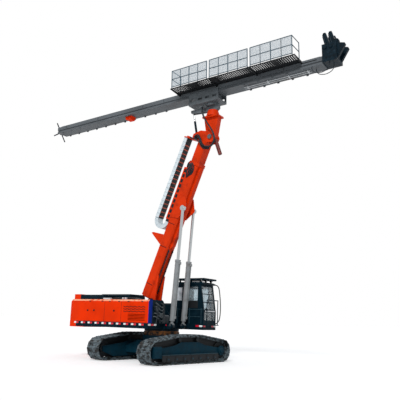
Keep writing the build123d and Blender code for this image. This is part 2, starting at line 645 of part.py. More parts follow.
# Cross bars let into both faces of the run: x limits, z limits
LINK_PITCH = 190
LINK_BARS = []
for i in range(int((CHAIN_TOP - LOOP_Z - 60) / LINK_PITCH)):
    level = LOOP_Z + 90 + i * LINK_PITCH
    LINK_BARS.append(((RUN_X[0], RUN_X[0] + 25), (level, level + 36)))
    LINK_BARS.append(((RUN_X[1] - 25, RUN_X[1]), (level, level + 36)))
with BuildPart() as loop:
    block(RUN_X, (-CHAIN_HALF, CHAIN_HALF), (LOOP_Z, CHAIN_TOP - SEAT))
    block(FIXED_X, (-CHAIN_HALF, CHAIN_HALF), (LOOP_Z, LOOP_Z + 650))
    with BuildSketch(Plane.XZ.offset(-CHAIN_HALF)) as bend:
        with Locations((LOOP_X, LOOP_Z)):
            Circle(LOOP_R)
            Circle(LOOP_R - CHAIN_T, mode=Mode.SUBTRACT)
        with Locations((LOOP_X, LOOP_Z + LOOP_R)):
            Rectangle(4 * LOOP_R, 2 * LOOP_R, mode=Mode.SUBTRACT)
    extrude(bend.sketch, amount=2 * CHAIN_HALF)
    for x, z in LINK_BARS:
        block(x, (-CHAIN_HALF, CHAIN_HALF), z, mode=Mode.SUBTRACT)
save("chain_loop", loop.part, BOOM_FRAME)

with BuildPart() as bars:
    for x, z in LINK_BARS:
        block(x, (-CHAIN_HALF, CHAIN_HALF), z)
save("chain_bars", bars.part, BOOM_FRAME)

# Head: column with a wide flange, swing motor, grey yoke
COLUMN_HALF = FORK_Y[0] - 2 * GAP
with BuildPart() as column:
    side([(-130, -110), (130, -110), (200, 0), (360, 860), (-320, 860), (-200, 0)], (-COLUMN_HALF, COLUMN_HALF))
    block((-350, 400), (-250, 250), (860, 930))
    with Locations((25, 0, (930 + YOKE_Z[0]) / 2)):
        Cone(300, 220, YOKE_Z[0] - 930)
    rod((0, -COLUMN_HALF, 0), (0, COLUMN_HALF, 0), HEAD_PIN_R + SEAT, mode=Mode.SUBTRACT)
save("head_column", column.part, HEAD_FRAME)

with BuildPart() as motor:
    rod((160, 0, -111), (390, 0, -780), 80)
    block((90, 240), (-90, 90), (-200, -110))
save("swing_motor", motor.part, HEAD_FRAME)

HOSE_END = (-300, 1300)
with BuildPart() as yoke:
    side([(-740, 1410), (330, 1410), (330, 1260), (250, 1200), (-250, 1200), (-740, 1330)], (-60, 60))
    for y in mirrored((50, 90)):
        side([(-1000, 1260), (-1040, 1300), (-1040, 1410), (330, 1410), (330, 1260), (250, 1200), (-250, 1200)], y)
    block((HOSE_END[0] - 60, HOSE_END[0] + 60), (HOSE_Y[1] - 45, -70), (HOSE_END[1], HOSE_END[1] + 40))
save("head_yoke", yoke.part, HEAD_FRAME)


def hose(label, route, y, d, frame):
    """A hose of straight runs and arcs through (x, z) points at one y, each arc as large as its runs allow."""
    bends = []
    for (x0, z0), (x1, z1), (x2, z2) in zip(route, route[1:], route[2:]):
        turn = abs(math.atan2(z1 - z0, x1 - x0) - math.atan2(z2 - z1, x2 - x1))
        turn = min(turn, 2 * math.pi - turn)
        run = min(math.hypot(x1 - x0, z1 - z0), math.hypot(x2 - x1, z2 - z1))
        bends.append(0.45 * run / math.tan(turn / 2))
    print(label, "bend radii", [round(r) for r in bends], "in diameters", round(min(bends) / d, 1), "at least")
    with BuildPart() as tube:
        with BuildLine():
            path = FilletPolyline(*[(x, y, z) for x, z in route], radius=bends)
        with BuildSketch(Plane(origin=path @ 0, z_dir=path % 0)) as ring:
            Circle(d / 2)
        sweep(ring.sketch, path=path)
    share = tube.part.volume / (math.pi * d * d / 4 * path.length)
    print(label, "length", round(path.length), "volume over section times length", round(share, 4))
    save(label, tube.part, frame)


# Head hoses: out of the chain arm's bracket, a loop beside the head, up to the yoke's bracket
arm_x, arm_z = rotated(HOSE_X - HEAD_PIN[0], HOSE_Z - HEAD_PIN[1], LEAN - HEAD_TILT)
out_x, out_z = rotated(HOSE_X + 261 - HEAD_PIN[0], HOSE_Z - HEAD_PIN[1], LEAN - HEAD_TILT)
HEAD_ROUTE = [(arm_x, arm_z), (out_x, out_z), (-390, -215), (-150, -453), (128, -509), (322, -313), (299, -12),
              (155, 281), (-49, 575), (-223, 879), (HOSE_END[0], HOSE_END[1] - 160), HOSE_END]
for i, y in enumerate(HOSE_Y):
    hose(f"head_hose_{i + 1}", HEAD_ROUTE, y, HOSE_D, HEAD_FRAME)

# Tilt cylinder, z from its foot on the boom head to its eye at the yoke
with BuildPart() as tilt_barrel:
    rod((0, -40, 0), (0, 40, 0), 55)
    rod((0, -FORK_Y[1], 0), (0, FORK_Y[1], 0), TILT_PIN_R)
    rod((0, 0, 0), (0, 0, TILT_BARREL), 48)
    rod((0, 0, 90), (0, 0, TILT_BARREL), 30 + SEAT, mode=Mode.SUBTRACT)
save("tilt_barrel", tilt_barrel.part, TILT_FRAME)

with BuildPart() as tilt_rod:
    rod((0, 0, TILT_BARREL - 340), (0, 0, TILT_L - 40), 30)
    rod((0, -40, TILT_L), (0, 40, TILT_L), 45)
save("tilt_rod", tilt_rod.part, TILT_FRAME)

# Cradle: turns on the yoke, its lips run in the mast's side grooves
GROOVE_Z = (MAST_Z[0] + 60, MAST_Z[0] + 130)
GROOVE_D = 36
with BuildPart() as cradle:
    with Locations((0, 0, (YOKE_Z[1] + SEAT + 1520) / 2)):
        Cylinder(260, 1520 - YOKE_Z[1] - SEAT)
    block(CRADLE_X, (-MAST_HALF - GAP - 44, MAST_HALF + GAP + 44), (1520, 1600))
    for low, high in mirrored((MAST_HALF + GAP, MAST_HALF + GAP + 44)):
        block(CRADLE_X, (low, high), (1600, GROOVE_Z[1] + 30))
    for y in mirrored((MAST_HALF - GROOVE_D + GAP, MAST_HALF + GAP)):
        block(CRADLE_X, y, (GROOVE_Z[0] + GAP, GROOVE_Z[1] - GAP))
    for x in (-880, -520, -160, 200):
        block((x, x + 200), (-MAST_HALF - 60, MAST_HALF + 60), (1680, 1780), mode=Mode.SUBTRACT)
    block((-300, 300), (-260, 260), (1600, MAST_Z[0] - SEAT))
save("cradle", cradle.part, HEAD_FRAME)

# Mast: hollow beam with side grooves
MAST_WALL = 12
LUG_X = [-8900 + 620 * i for i in range(11)] + [1650 + 620 * i for i in range(5)]
with BuildPart() as mast:
    block(MAST_X, (-MAST_HALF, MAST_HALF), MAST_Z)
    room = MAST_HALF - GROOVE_D - MAST_WALL
    block((MAST_X[0] + 20, MAST_X[1] - 20), (-room, room), (MAST_Z[0] + MAST_WALL, MAST_Z[1] - MAST_WALL),
          mode=Mode.SUBTRACT)
    for y in mirrored((MAST_HALF - GROOVE_D, MAST_HALF + 1)):
        block(MAST_X, y, GROOVE_Z, mode=Mode.SUBTRACT)
    for x in LUG_X:
        for y in mirrored((MAST_HALF - 34, MAST_HALF - 8)):
            block((x, x + 90), y, (MAST_Z[0] - 46, MAST_Z[0]))
save("mast_beam", mast.part, HEAD_FRAME)

with BuildPart() as pipes:
    for y in (-70, 70):
        rod((1560, y, MAST_Z[0] - 34), (4420, y, MAST_Z[0] - 34), 16)
    for x in (1700, 2600, 3500, 4300):
        block((x, x + 50), (-105, 105), (MAST_Z[0] - 56, MAST_Z[0]))
save("mast_pipes", pipes.part, HEAD_FRAME)

with BuildPart() as rest:
    side([(-4740, MAST_Z[0]), (-4700, MAST_Z[0] - 150), (-4440, MAST_Z[0] - 150), (-4380, MAST_Z[0])], (-170, 170))
save("mast_bracket", rest.part, HEAD_FRAME)

# Mast rails for the carriage
RAIL_TOP = MAST_Z[1] + 40
with BuildPart() as rails:
    for y in mirrored((190, 250)):
        block((MAST_X[0] + 200, MAST_X[1] - 100), y, (MAST_Z[1], RAIL_TOP))
save("mast_rails", rails.part, HEAD_FRAME)

# Feed carriage: a sled between the rails with a bolt circle for the drill head
CARRIAGE_X = (100, 1100)
BOLT_PCD = 260
BOLT_R = 11
CARRIAGE_TOP = RAIL_TOP + 90
with BuildPart() as carriage:
    block(CARRIAGE_X, (-184, 184), (MAST_Z[1] + GAP, RAIL_TOP + SEAT))
    block(CARRIAGE_X, (-270, 270), (RAIL_TOP + SEAT, CARRIAGE_TOP))
    with Locations((sum(CARRIAGE_X) / 2, 0, CARRIAGE_TOP)):
        with PolarLocations(BOLT_PCD / 2, 8):
            Hole(BOLT_R, 80)
save("feed_carriage", carriage.part, HEAD_FRAME)

# Platform: floor frame with grating bars, struts to the mast, railings
FLOOR_Z = (MAST_Z[1] - 40, MAST_Z[1])
BARS = 19
with BuildPart() as floor_frame:
    block(FLOOR_X, FLOOR_Y, FLOOR_Z)
    bays = 3
    pitch = (FLOOR_X[1] - FLOOR_X[0] - 40) / bays
    for i in range(bays):
        x = (FLOOR_X[0] + 40 + i * pitch, FLOOR_X[0] + (i + 1) * pitch)
        block(x, (FLOOR_Y[0] + 40, FLOOR_Y[1] - 40), FLOOR_Z, mode=Mode.SUBTRACT)
        for k in range(1, BARS + 1):
            bar = x[0] + k * (x[1] - x[0]) / (BARS + 1)
            block((bar - 4, bar + 4), (FLOOR_Y[0] + 40, FLOOR_Y[1] - 40), (FLOOR_Z[0] + 8, FLOOR_Z[1] - 2))
    for i in range(bays + 1):
        x = FLOOR_X[0] + i * pitch
        block((x, x + 40), (FLOOR_Y[1], -MAST_HALF), (FLOOR_Z[0] - 60, FLOOR_Z[1]))
        side_strut = [(FLOOR_Y[1], FLOOR_Z[0] - 60), (FLOOR_Y[1], FLOOR_Z[0]), (FLOOR_Y[0] + 60, FLOOR_Z[0])]
        with BuildSketch(Plane.YZ.offset(x)) as web:
            with BuildLine():
                Polyline(*side_strut, close=True)
            make_face()
        extrude(web.sketch, amount=40)
save("platform_frame", floor_frame.part, HEAD_FRAME)

with BuildPart() as railing:
    for i in range(bays):
        x = (FLOOR_X[0] + 60 + i * pitch, FLOOR_X[0] + (i + 1) * pitch - 60)
        y = FLOOR_Y[0] + 20
        posts = [x[0] + k * (x[1] - x[0]) / 4 for k in range(5)]
        for px in posts:
            rod((px, y, MAST_Z[1]), (px, y, MAST_Z[1] + RAIL_H), 18)
        for h in (RAIL_H, RAIL_H * 0.52, 60):
            rod((x[0], y, MAST_Z[1] + h), (x[1], y, MAST_Z[1] + h), 16)
    for x in (FLOOR_X[0] + 60, FLOOR_X[0] + bays * pitch - 60):
        rod((x, FLOOR_Y[1] - 20, MAST_Z[1]), (x, FLOOR_Y[1] - 20, MAST_Z[1] + RAIL_H), 18)
        for h in (RAIL_H, RAIL_H * 0.52):
            rod((x, FLOOR_Y[0] + 20, MAST_Z[1] + h), (x, FLOOR_Y[1] - 20, MAST_Z[1] + h), 16)
save("platform_railing", railing.part, HEAD_FRAME)

# Rod clamps at the mast's front end: body with an open trough for the rod, leaning jaws, nose cheeks
CLAMP_X = (MAST_X[1], MAST_X[1] + CLAMP_L)
CLAMP_Z = (MAST_Z[0] + 30, MAST_Z[1] + GUIDE_UP + 150)
GUIDE_Z = MAST_Z[1] + GUIDE_UP
with BuildPart() as clamps:
    block(CLAMP_X, (-330, 330), CLAMP_Z)
    rod((CLAMP_X[0], 0, GUIDE_Z), (CLAMP_X[1], 0, GUIDE_Z), GUIDE_R, mode=Mode.SUBTRACT)
    block(CLAMP_X, (-GUIDE_R, GUIDE_R), (GUIDE_Z, CLAMP_Z[1]), mode=Mode.SUBTRACT)
    for y in mirrored((GUIDE_R + 20, GUIDE_R + 130)):
        for x in (CLAMP_X[0] + 200, CLAMP_X[0] + 430):
            low, high = CLAMP_Z[1] - 40, CLAMP_Z[1] + 510
            side([(x - 60, low), (x + 100, low), (x - 60, high), (x - 150, high), (x - 190, high - 90)], y)
        rod((CLAMP_X[1] - 30, y[0], CLAMP_Z[1] + 40), (CLAMP_X[1] - 30, y[1], CLAMP_Z[1] + 40), 110)
        side([(CLAMP_X[1], CLAMP_Z[0] + 60), (CLAMP_X[1] + 310, GUIDE_Z - 20), (CLAMP_X[1] + 290, GUIDE_Z + 40),
              (CLAMP_X[1], CLAMP_Z[1] - 20)], y)
save("rod_clamps", clamps.part, HEAD_FRAME)

# Loose hoses under the clamps, from the mast's underside to the clamp body: x and z of the left one
LOOP_ROUTE = [(4550, MAST_Z[0]), (4550, 1805), (4597, 1705), (4691, 1631), (4895, 1581), (5098, 1631), (5193, 1705),
              (5244, 1815), (5244, CLAMP_Z[0])]
for i, y in enumerate(LOOP_Y):
    hose(f"clamp_hose_{i + 1}", [(x + 90 * i, z) for x, z in LOOP_ROUTE], y, LOOP_D, HEAD_FRAME)

# Star bracket at the mast's rear end
with BuildPart() as star:
    hub_x = MAST_X[0] - 120
    rod((MAST_X[0], 0, MAST_Z[0] + 150), (hub_x, 0, MAST_Z[0] + 150), 120)
    for angle in (35, 125, 215, 305):
        a = math.radians(angle)
        rod((hub_x + 30, 0, MAST_Z[0] + 150),
            (hub_x + 30, 520 * math.cos(a), MAST_Z[0] + 150 + 520 * math.sin(a)), 28)
save("rear_star", star.part, HEAD_FRAME)
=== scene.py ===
"""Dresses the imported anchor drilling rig: camera, loose hoses, finishes and small detail, in metres."""
import math

import bmesh
import bpy
from mathutils import Matrix, Vector


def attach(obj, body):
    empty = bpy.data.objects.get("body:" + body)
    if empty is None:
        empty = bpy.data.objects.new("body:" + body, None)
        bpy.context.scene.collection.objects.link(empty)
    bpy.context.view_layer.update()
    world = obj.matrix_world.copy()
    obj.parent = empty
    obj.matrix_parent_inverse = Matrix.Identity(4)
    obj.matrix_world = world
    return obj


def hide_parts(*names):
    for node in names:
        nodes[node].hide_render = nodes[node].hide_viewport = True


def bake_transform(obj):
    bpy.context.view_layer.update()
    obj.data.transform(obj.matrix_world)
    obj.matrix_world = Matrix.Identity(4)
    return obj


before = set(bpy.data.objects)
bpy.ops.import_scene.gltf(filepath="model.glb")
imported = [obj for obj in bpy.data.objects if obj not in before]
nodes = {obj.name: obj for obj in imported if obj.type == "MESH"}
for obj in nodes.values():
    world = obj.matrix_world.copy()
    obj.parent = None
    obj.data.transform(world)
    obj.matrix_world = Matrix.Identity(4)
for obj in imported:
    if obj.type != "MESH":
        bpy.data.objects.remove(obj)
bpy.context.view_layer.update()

scene = bpy.context.scene

# Frames of the moving groups, as in the part's source
LEAN = math.radians(22.2)
PIVOT = Vector((-0.41, 0, 2.32))
HEAD_PIN_X, HEAD_PIN_Z = -0.14, 7.25
LIFT_EYE_X, LIFT_EYE_Z = -0.03, 4.09
LIFT_PIN = Vector((0.78, 0, 1.39))
TRACK = Matrix.Rotation(math.radians(84), 4, "Z")
BOOM = Matrix.Translation(PIVOT) @ Matrix.Rotation(LEAN, 4, "Y")
HEAD_PIN = BOOM @ Vector((HEAD_PIN_X, 0, HEAD_PIN_Z))
HEAD = Matrix.Translation(HEAD_PIN) @ Matrix.Rotation(math.radians(-1.2), 4, "Y")
LIFT_WAY = BOOM @ Vector((LIFT_EYE_X, 0, LIFT_EYE_Z)) - LIFT_PIN
LIFT = Matrix.Translation(LIFT_PIN) @ Matrix.Rotation(math.atan2(LIFT_WAY.x, LIFT_WAY.z), 4, "Y")
HERE = Matrix.Identity(4)

# Sizes of the solids that the details sit on
SIDE = 1.5
DECK_TOP, HOOD_TOP = 1.47, 2.36
HOOD_X = (-2.94, 0.455)
CAB_INNER, CAB_FRONT, CAB_BEND = 0.56, 1.65, 1.98
LAMP_X, LAMP_Z = 1.46, 3.275
PEDESTAL_Y, LIFT_Y, MAST_Y = 0.335, 0.39, 0.3
TRACK_Y, FRAME_FACE, HUB_FACE = 1.385, 0.31, 0.16
AXLE_X, AXLE_Z = 1.95, 0.45
FLOOR_X = (-1.5, 4.2)
RAIL_Z = (2.25, 2.99)

# Camera: where the photograph was taken from
TURN, PITCH, YAW, ROLL = (math.radians(a) for a in (37.254, 12.685, 3.555, 1.799))
AWAY, EYE_Z = 22.52, 1.629
PIXELS, FOCAL_PIXELS = 400, 535.3
SENSOR = 36


def from_view(v):
    """Turns a vector of the camera's own heading into the shared frame."""
    c, s = math.cos(TURN), math.sin(TURN)
    return Vector((v[0] * c - v[1] * s, v[0] * s + v[1] * c, v[2]))


ahead = Vector((math.sin(YAW) * math.cos(PITCH), math.cos(YAW) * math.cos(PITCH), math.sin(PITCH)))
level = Vector((math.cos(YAW), -math.sin(YAW), 0))
over = level.cross(ahead)
right = level * math.cos(ROLL) + over * math.sin(ROLL)
up = over * math.cos(ROLL) - level * math.sin(ROLL)
axes = [from_view(v) for v in (right, up, -ahead)]
camera = bpy.data.objects.new("camera", bpy.data.cameras.new("camera"))
camera.data.sensor_width = SENSOR
camera.data.lens = SENSOR * FOCAL_PIXELS / PIXELS
camera.data.clip_end = 500
camera.matrix_world = Matrix.Translation(from_view((0, -AWAY, EYE_Z))) @ Matrix(axes).transposed().to_4x4()
scene.collection.objects.link(camera)
scene.camera = camera
scene.view_settings.view_transform = "Standard"


# Finishes: node materials in object space, so that their grain keeps its size

def tone(r, g, b):
    """A display colour in bytes as a linear one."""
    parts = [c / 255 for c in (r, g, b)]
    return tuple(c / 12.92 if c <= 0.04045 else ((c + 0.055) / 1.055) ** 2.4 for c in parts) + (1,)


class Finish:
    """A node material in the making."""

    def __init__(self, name, stretch=None, lean=0):
        self.material = bpy.data.materials.new(name)
        self.material.use_nodes = True
        self.tree = self.material.node_tree
        self.shader = self.tree.nodes["Principled BSDF"]
        self.place = self.add("ShaderNodeTexCoord").outputs["Object"]
        if stretch or lean:
            turn = {"Vector": self.place, "Rotation": (0, -lean, 0), "Scale": stretch or (1, 1, 1)}
            self.place = self.add("ShaderNodeMapping", turn).outputs["Vector"]

    def add(self, kind, inputs=(), **settings):
        """A new node with its settings and inputs."""
        node = self.tree.nodes.new(kind)
        for key, value in settings.items():
            setattr(node, key, value)
        for key, value in dict(inputs).items():
            self.feed(node.inputs[key], value)
        return node

    def feed(self, socket, value):
        """Links another node's output to the socket, or sets the socket itself."""
        if isinstance(value, bpy.types.NodeSocket):
            self.tree.links.new(value, socket)
        else:
            socket.default_value = value

    def set(self, **values):
        """Sets the shader's own sockets, named with _ for a space."""
        for key, value in values.items():
            self.feed(self.shader.inputs[key.replace("_", " ")], value)

    def ranged(self, value, low, high, to=(0, 1)):
        """A value between two limits, mapped to others."""
        inputs = {"Value": value, "From Min": low, "From Max": high, "To Min": to[0], "To Max": to[1]}
        return self.add("ShaderNodeMapRange", inputs).outputs["Result"]

    def spots(self, scale, low=0.3, high=0.7, detail=5):
        """Noise from 0 to 1."""
        noise = self.add("ShaderNodeTexNoise", {"Vector": self.place, "Scale": scale, "Detail": detail})
        return self.ranged(noise.outputs["Fac"], low, high)

    def times(self, a, b):
        """The product of two values."""
        node = self.add("ShaderNodeMath", operation="MULTIPLY")
        self.feed(node.inputs[0], a)
        self.feed(node.inputs[1], b)
        return node.outputs[0]

    def mixed(self, share, a, b):
        """A colour between two others."""
        node = self.add("ShaderNodeMix", data_type="RGBA")
        for index, value in ((0, share), (6, a), (7, b)):
            self.feed(node.inputs[index], value)
        return node.outputs[2]

    def along(self, axis):
        """The place on one axis."""
        return self.add("ShaderNodeSeparateXYZ", {"Vector": self.place}).outputs[axis]

    def relief(self, height, strength, depth=0.003):
        """Raises the surface by a height."""
        bump = self.add("ShaderNodeBump", {"Height": height, "Strength": strength, "Distance": depth})
        self.set(Normal=bump.outputs["Normal"])

    def done(self, base, rough, patch, relief, pit=70, **values):
        """Sets the colour, a roughness that varies in patches and a fine relief."""
        self.set(Base_Color=base, Roughness=self.ranged(self.spots(patch), 0, 1, rough), **values)
        self.relief(self.spots(pit, 0.2, 0.8, 3), relief)
        return self.material


DUST = tone(188, 176, 160)


def coat(name, colour, rough=0.45, metal=0.0, drift=0.14, grain=3.0, dirt=None, dust=0.0, relief=0.12, pit=70,
         gloss=0.0, shine=0.25, stretch=None):
    """Paint, metal or rubber: its colour drifts, dirt lies in patches, dust on what faces up, fine grain in relief."""
    f = Finish(name, stretch)
    drifted = f.spots(grain, 0.32, 0.68)
    dark = tuple(c * (1 - drift) for c in colour[:3]) + (1,)
    light = tuple(min(1, c * (1 + drift)) for c in colour[:3]) + (1,)
    base = f.mixed(drifted, dark, light)
    if dirt:
        shade, low, high, scale = dirt
        base = f.mixed(f.spots(scale, low, high), base, shade)
    if dust:
        split = f.add("ShaderNodeSeparateXYZ", {"Vector": f.add("ShaderNodeNewGeometry").outputs["Normal"]})
        facing = f.ranged(split.outputs["Z"], 0.35, 1.0, (0, dust))
        base = f.mixed(f.times(facing, f.spots(5, 0.25, 0.6)), base, DUST)
    f.set(Base_Color=base, Metallic=metal, Roughness=f.ranged(drifted, 0, 1, (rough - 0.07, rough + 0.09)))
    f.set(Specular_IOR_Level=shine)
    if gloss:
        f.set(Coat_Weight=gloss, Coat_Roughness=0.12)
    f.relief(f.spots(pit, 0.2, 0.8, 3), relief)
    return f.material


ORANGE = coat("orange_paint", tone(230, 50, 0), 0.45, drift=0.1, grain=1.4,
              dirt=(tone(176, 36, 2), 0.6, 0.85, 2.3), dust=0.02, relief=0.05, shine=0.05)
BOOM_PAINT = coat("boom_paint", tone(214, 53, 6), 0.45, drift=0.14, grain=1.8,
                  dirt=(tone(150, 36, 10), 0.55, 0.8, 2.6), dust=0.02, relief=0.05, shine=0.1)
# A pale copy of the orange, a painted highlight for the strip along the hood's top bevel.
PALE_ORANGE = coat("bevel_highlight_paint", tone(250, 170, 134), 0.4, drift=0.12, grain=6,
                   dirt=(tone(232, 80, 24), 0.5, 0.65, 5), relief=0.08, shine=0.15)
DECK = coat("deck_paint", tone(6, 28, 38), 0.5, drift=0.3, grain=4,
            dirt=(tone(30, 44, 50), 0.58, 0.82, 3.4), dust=0.04, shine=0.05)
CAB = coat("cab_paint", tone(4, 27, 37), 0.45, drift=0.2, grain=3,
           dirt=(tone(18, 40, 50), 0.58, 0.8, 4), dust=0.04, shine=0.06)
CRAWLER = coat("crawler_paint", tone(8, 44, 58), 0.55, drift=0.25, grain=4,
               dirt=(tone(26, 46, 54), 0.54, 0.8, 3), dust=0.1, relief=0.2, shine=0.06)
SHOES = coat("shoe_steel", tone(96, 108, 114), 0.5, metal=0.35, drift=0.45, grain=16,
             dirt=(tone(30, 32, 33), 0.44, 0.58, 7), dust=0.1, relief=0.5, pit=40)
WHEELS = coat("wheel_steel", tone(32, 38, 42), 0.6, metal=0.3, drift=0.35, grain=9,
              dirt=(tone(44, 44, 42), 0.5, 0.7, 6), dust=0.1, relief=0.4)
GREY = coat("grey_paint", tone(92, 98, 102), 0.45, drift=0.16, grain=3.5,
            dirt=(tone(56, 58, 58), 0.55, 0.8, 2.6), dust=0.1)
MAST = coat("mast_paint", tone(88, 93, 97), 0.48, drift=0.2, grain=2.2,
            dirt=(tone(66, 62, 60), 0.52, 0.8, 1.7), dust=0.3, stretch=(0.45, 1, 1.6))
CHROME = coat("rod_chrome", tone(176, 180, 182), 0.16, metal=1.0, drift=0.06, grain=30, relief=0.03,
              stretch=(1, 1, 0.1))
BRONZE = coat("ring_bronze", tone(104, 66, 34), 0.42, metal=0.6, drift=0.45, grain=7,
              dirt=(tone(30, 28, 28), 0.44, 0.56, 5), relief=0.3)
RUBBER = coat("hose_rubber", tone(26, 34, 40), 0.42, drift=0.3, grain=20, dust=0.15, relief=0.3, pit=160)
CLAMP = coat("oily_steel", tone(4, 24, 34), 0.4, metal=0.1, drift=0.5, grain=9,
             dirt=(tone(28, 46, 58), 0.58, 0.78, 8), relief=0.35, shine=0.12)
DIVIDER = coat("divider_paint", tone(214, 104, 78), 0.5, drift=0.15, grain=14, dirt=(tone(150, 60, 40), 0.6, 0.8, 9))
MOTOR = coat("motor_paint", tone(112, 40, 34), 0.45, drift=0.3, grain=8, dirt=(tone(60, 44, 42), 0.5, 0.7, 9))
PIPE = coat("pale_paint", tone(196, 200, 202), 0.4, drift=0.1, grain=8, dirt=(tone(140, 138, 134), 0.58, 0.8, 5))
WIRE = coat("railing_zinc", tone(76, 92, 102), 0.5, metal=0.2, drift=0.15, grain=12, relief=0.2)
MESH_WIRE = coat("mesh_zinc", tone(128, 150, 164), 0.5, metal=0.1, drift=0.12, grain=12, relief=0.1)
SEAM = coat("seam_shadow", tone(96, 20, 4), 0.7, drift=0.25, grain=12, relief=0.1)
# Dark rubber and black fittings; also the black of the track infill plates and of the band round the track rollers,
# which is painted shade.
DARK = coat("dark_rubber_and_painted_shade", tone(12, 16, 20), 0.6, drift=0.3, grain=15, relief=0.25)
RED = coat("red_reflector", tone(214, 18, 44), 0.25, drift=0.12, grain=40, relief=0.35, pit=180, gloss=0.4)
WHITE = coat("white_reflector", tone(236, 238, 238), 0.25, drift=0.05, grain=40, relief=0.35, pit=180, gloss=0.4)
CLOTH = coat("seat_cloth", tone(30, 32, 36), 0.85, drift=0.25, grain=60, relief=0.6, pit=240)
PALE_GLASS = coat("pale_pane", tone(206, 218, 224), 0.2, drift=0.08, grain=5,
                  dirt=(tone(150, 164, 172), 0.5, 0.7, 4), relief=0.02)
# A lighter copy of the dark blue paint, a painted highlight: on the crawler's frame ledges and roller hubs and on the
# cab's slats.
EDGE = coat("highlight_edge_paint", tone(34, 58, 68), 0.5, drift=0.3, grain=9,
            dirt=(tone(20, 40, 50), 0.5, 0.7, 7), shine=0.15)

# Where a finish changes: the chain's links and bend, the end panel's blue edge, the cylinders' feet
LINK_PITCH = 0.19
BEND_TOP = PIVOT.z * math.cos(LEAN) + PIVOT.x * math.sin(LEAN) + 3.3
BLUE_Y = (-1.292, -1.288)
FOOT_Z = (1.4, 1.46)


def band_steel():
    """Bare side plates of the chain, with a joint line at each link."""
    f = Finish("chain_steel", lean=LEAN)
    steps = f.add("ShaderNodeMath", operation="FRACT")
    f.feed(steps.inputs[0], f.times(f.along("Z"), 1 / LINK_PITCH))
    line = f.ranged(steps.outputs[0], 0.9, 0.94)
    plate = f.mixed(f.spots(9), tone(196, 208, 214), tone(226, 236, 240))
    base = f.mixed(line, plate, tone(150, 160, 166))
    return f.done(base, (0.34, 0.5), 14, 0.1, 60, Metallic=0.25)


def loop_links():
    """Black links, with pale side plates round the bend."""
    f = Finish("chain_links", lean=LEAN)
    black = f.mixed(f.spots(12), tone(11, 16, 20), tone(21, 28, 34))
    pale = f.mixed(f.spots(9), tone(186, 198, 204), tone(214, 224, 228))
    base = f.mixed(f.ranged(f.along("Z"), BEND_TOP, BEND_TOP + 0.01), pale, black)
    return f.done(base, (0.42, 0.58), 14, 0.2, Specular_IOR_Level=0.25)


def end_paint():
    """Blue along the hood's outer edge, dark beside it."""
    f = Finish("end_panel_paint")
    blue = f.mixed(f.spots(3), tone(0, 32, 120), tone(0, 40, 140))
    dark = f.mixed(f.spots(4), tone(6, 22, 30), tone(14, 34, 44))
    base = f.mixed(f.ranged(f.along("Y"), *BLUE_Y), blue, dark)
    return f.done(base, (0.38, 0.52), 6, 0.05, Specular_IOR_Level=0.1)


def barrel_paint():
    """Grey cylinder paint, dark at the foot, below the deck's top."""
    f = Finish("cylinder_paint")
    grey = f.mixed(f.spots(3), tone(124, 128, 130), tone(142, 146, 148))
    worn = f.mixed(f.spots(4, 0.56, 0.8), grey, tone(104, 100, 96))
    base = f.mixed(f.ranged(f.along("Z"), *FOOT_Z), tone(20, 34, 42), worn)
    return f.done(base, (0.34, 0.48), 6, 0.1, Specular_IOR_Level=0.25)


def pane():
    """Tinted glass with faint dust."""
    f = Finish("window_glass")
    haze = f.spots(3, 0.4, 0.75)
    f.set(Base_Color=f.mixed(haze, tone(206, 220, 226), tone(190, 206, 214)), Transmission_Weight=0.92, IOR=1.45)
    f.set(Roughness=f.ranged(haze, 0, 1, (0.02, 0.1)), Alpha=0.85)
    return f.material


def lens():
    """Ribbed lamp glass."""
    f = Finish("lamp_glass")
    wave = f.add("ShaderNodeTexWave", {"Vector": f.place, "Scale": 28, "Distortion": 0.2}, bands_direction="Y")
    f.set(Base_Color=f.mixed(wave.outputs["Fac"], tone(196, 200, 200), tone(240, 240, 234)), Coat_Weight=0.6)
    f.set(Roughness=f.ranged(wave.outputs["Fac"], 0, 1, (0.1, 0.25)))
    f.relief(wave.outputs["Fac"], 0.4)
    return f.material


BARREL, GLASS = barrel_paint(), pane()
FINISHED = (
    (ORANGE, "counterweight right_hood mast_bracket"),
    (BOOM_PAINT, "outer_boom chain_tray ram_housing boom_hook inner_boom boom_head head_column"),
    (DECK, "upper_deck boom_pedestal left_hood engine_hood feed_carriage"),
    (CAB, "cab_shell cab_roof cab_handrail cab_door tilt_barrel"),
    (CRAWLER, "side_frame_left side_frame_right carbody"),
    (SHOES, "track_left track_right"),
    (WHEELS, "sprockets idlers track_rollers engine_block"),
    (GREY, "valve_manifold head_yoke cradle mast_rails"),
    (RUBBER, "boom_hoses head_hose_1 head_hose_2 clamp_hose_1 clamp_hose_2"),
    (CLAMP, "rod_clamps rear_star"),
    (CHROME, "lift_rods tilt_rod"),
    (GLASS, "cab_glass cab_door_glass"),
    (DARK, "work_lamps platform_frame"),
    (BARREL, "lift_barrels"),
    (MAST, "mast_beam"),
    (PIPE, "mast_pipes"),
    (WIRE, "platform_railing"),
    (BRONZE, "slew_ring"),
    (MOTOR, "swing_motor"),
    (DIVIDER, "chain_bars"),
    (CLOTH, "cab_seat"),
    (end_paint(), "hood_end_panel"),
    (band_steel(), "chain_run"),
    (loop_links(), "chain_loop"),
)
for finish, names in FINISHED:
    for name in names.split():
        nodes[name].data.materials.clear()
        nodes[name].data.materials.append(finish)


# Loose hoses: the routes of the part's source as control points

def spline(name, points, radius):
    """A smooth line with the points as its controls, round if it has a radius."""
    curve = bpy.data.curves.new(name, "CURVE")
    curve.dimensions = "3D"
    line = curve.splines.new("NURBS")
    line.points.add(len(points) - 1)
    for point, place in zip(line.points, points):
        point.co = (*place, 1)
    line.order_u = 3
    line.use_endpoint_u = True
    curve.resolution_u = 8
    curve.bevel_depth = radius
    curve.bevel_resolution = 4
    curve.use_fill_caps = True
    made = bpy.data.objects.new(name, curve)
    scene.collection.objects.link(made)
    return made


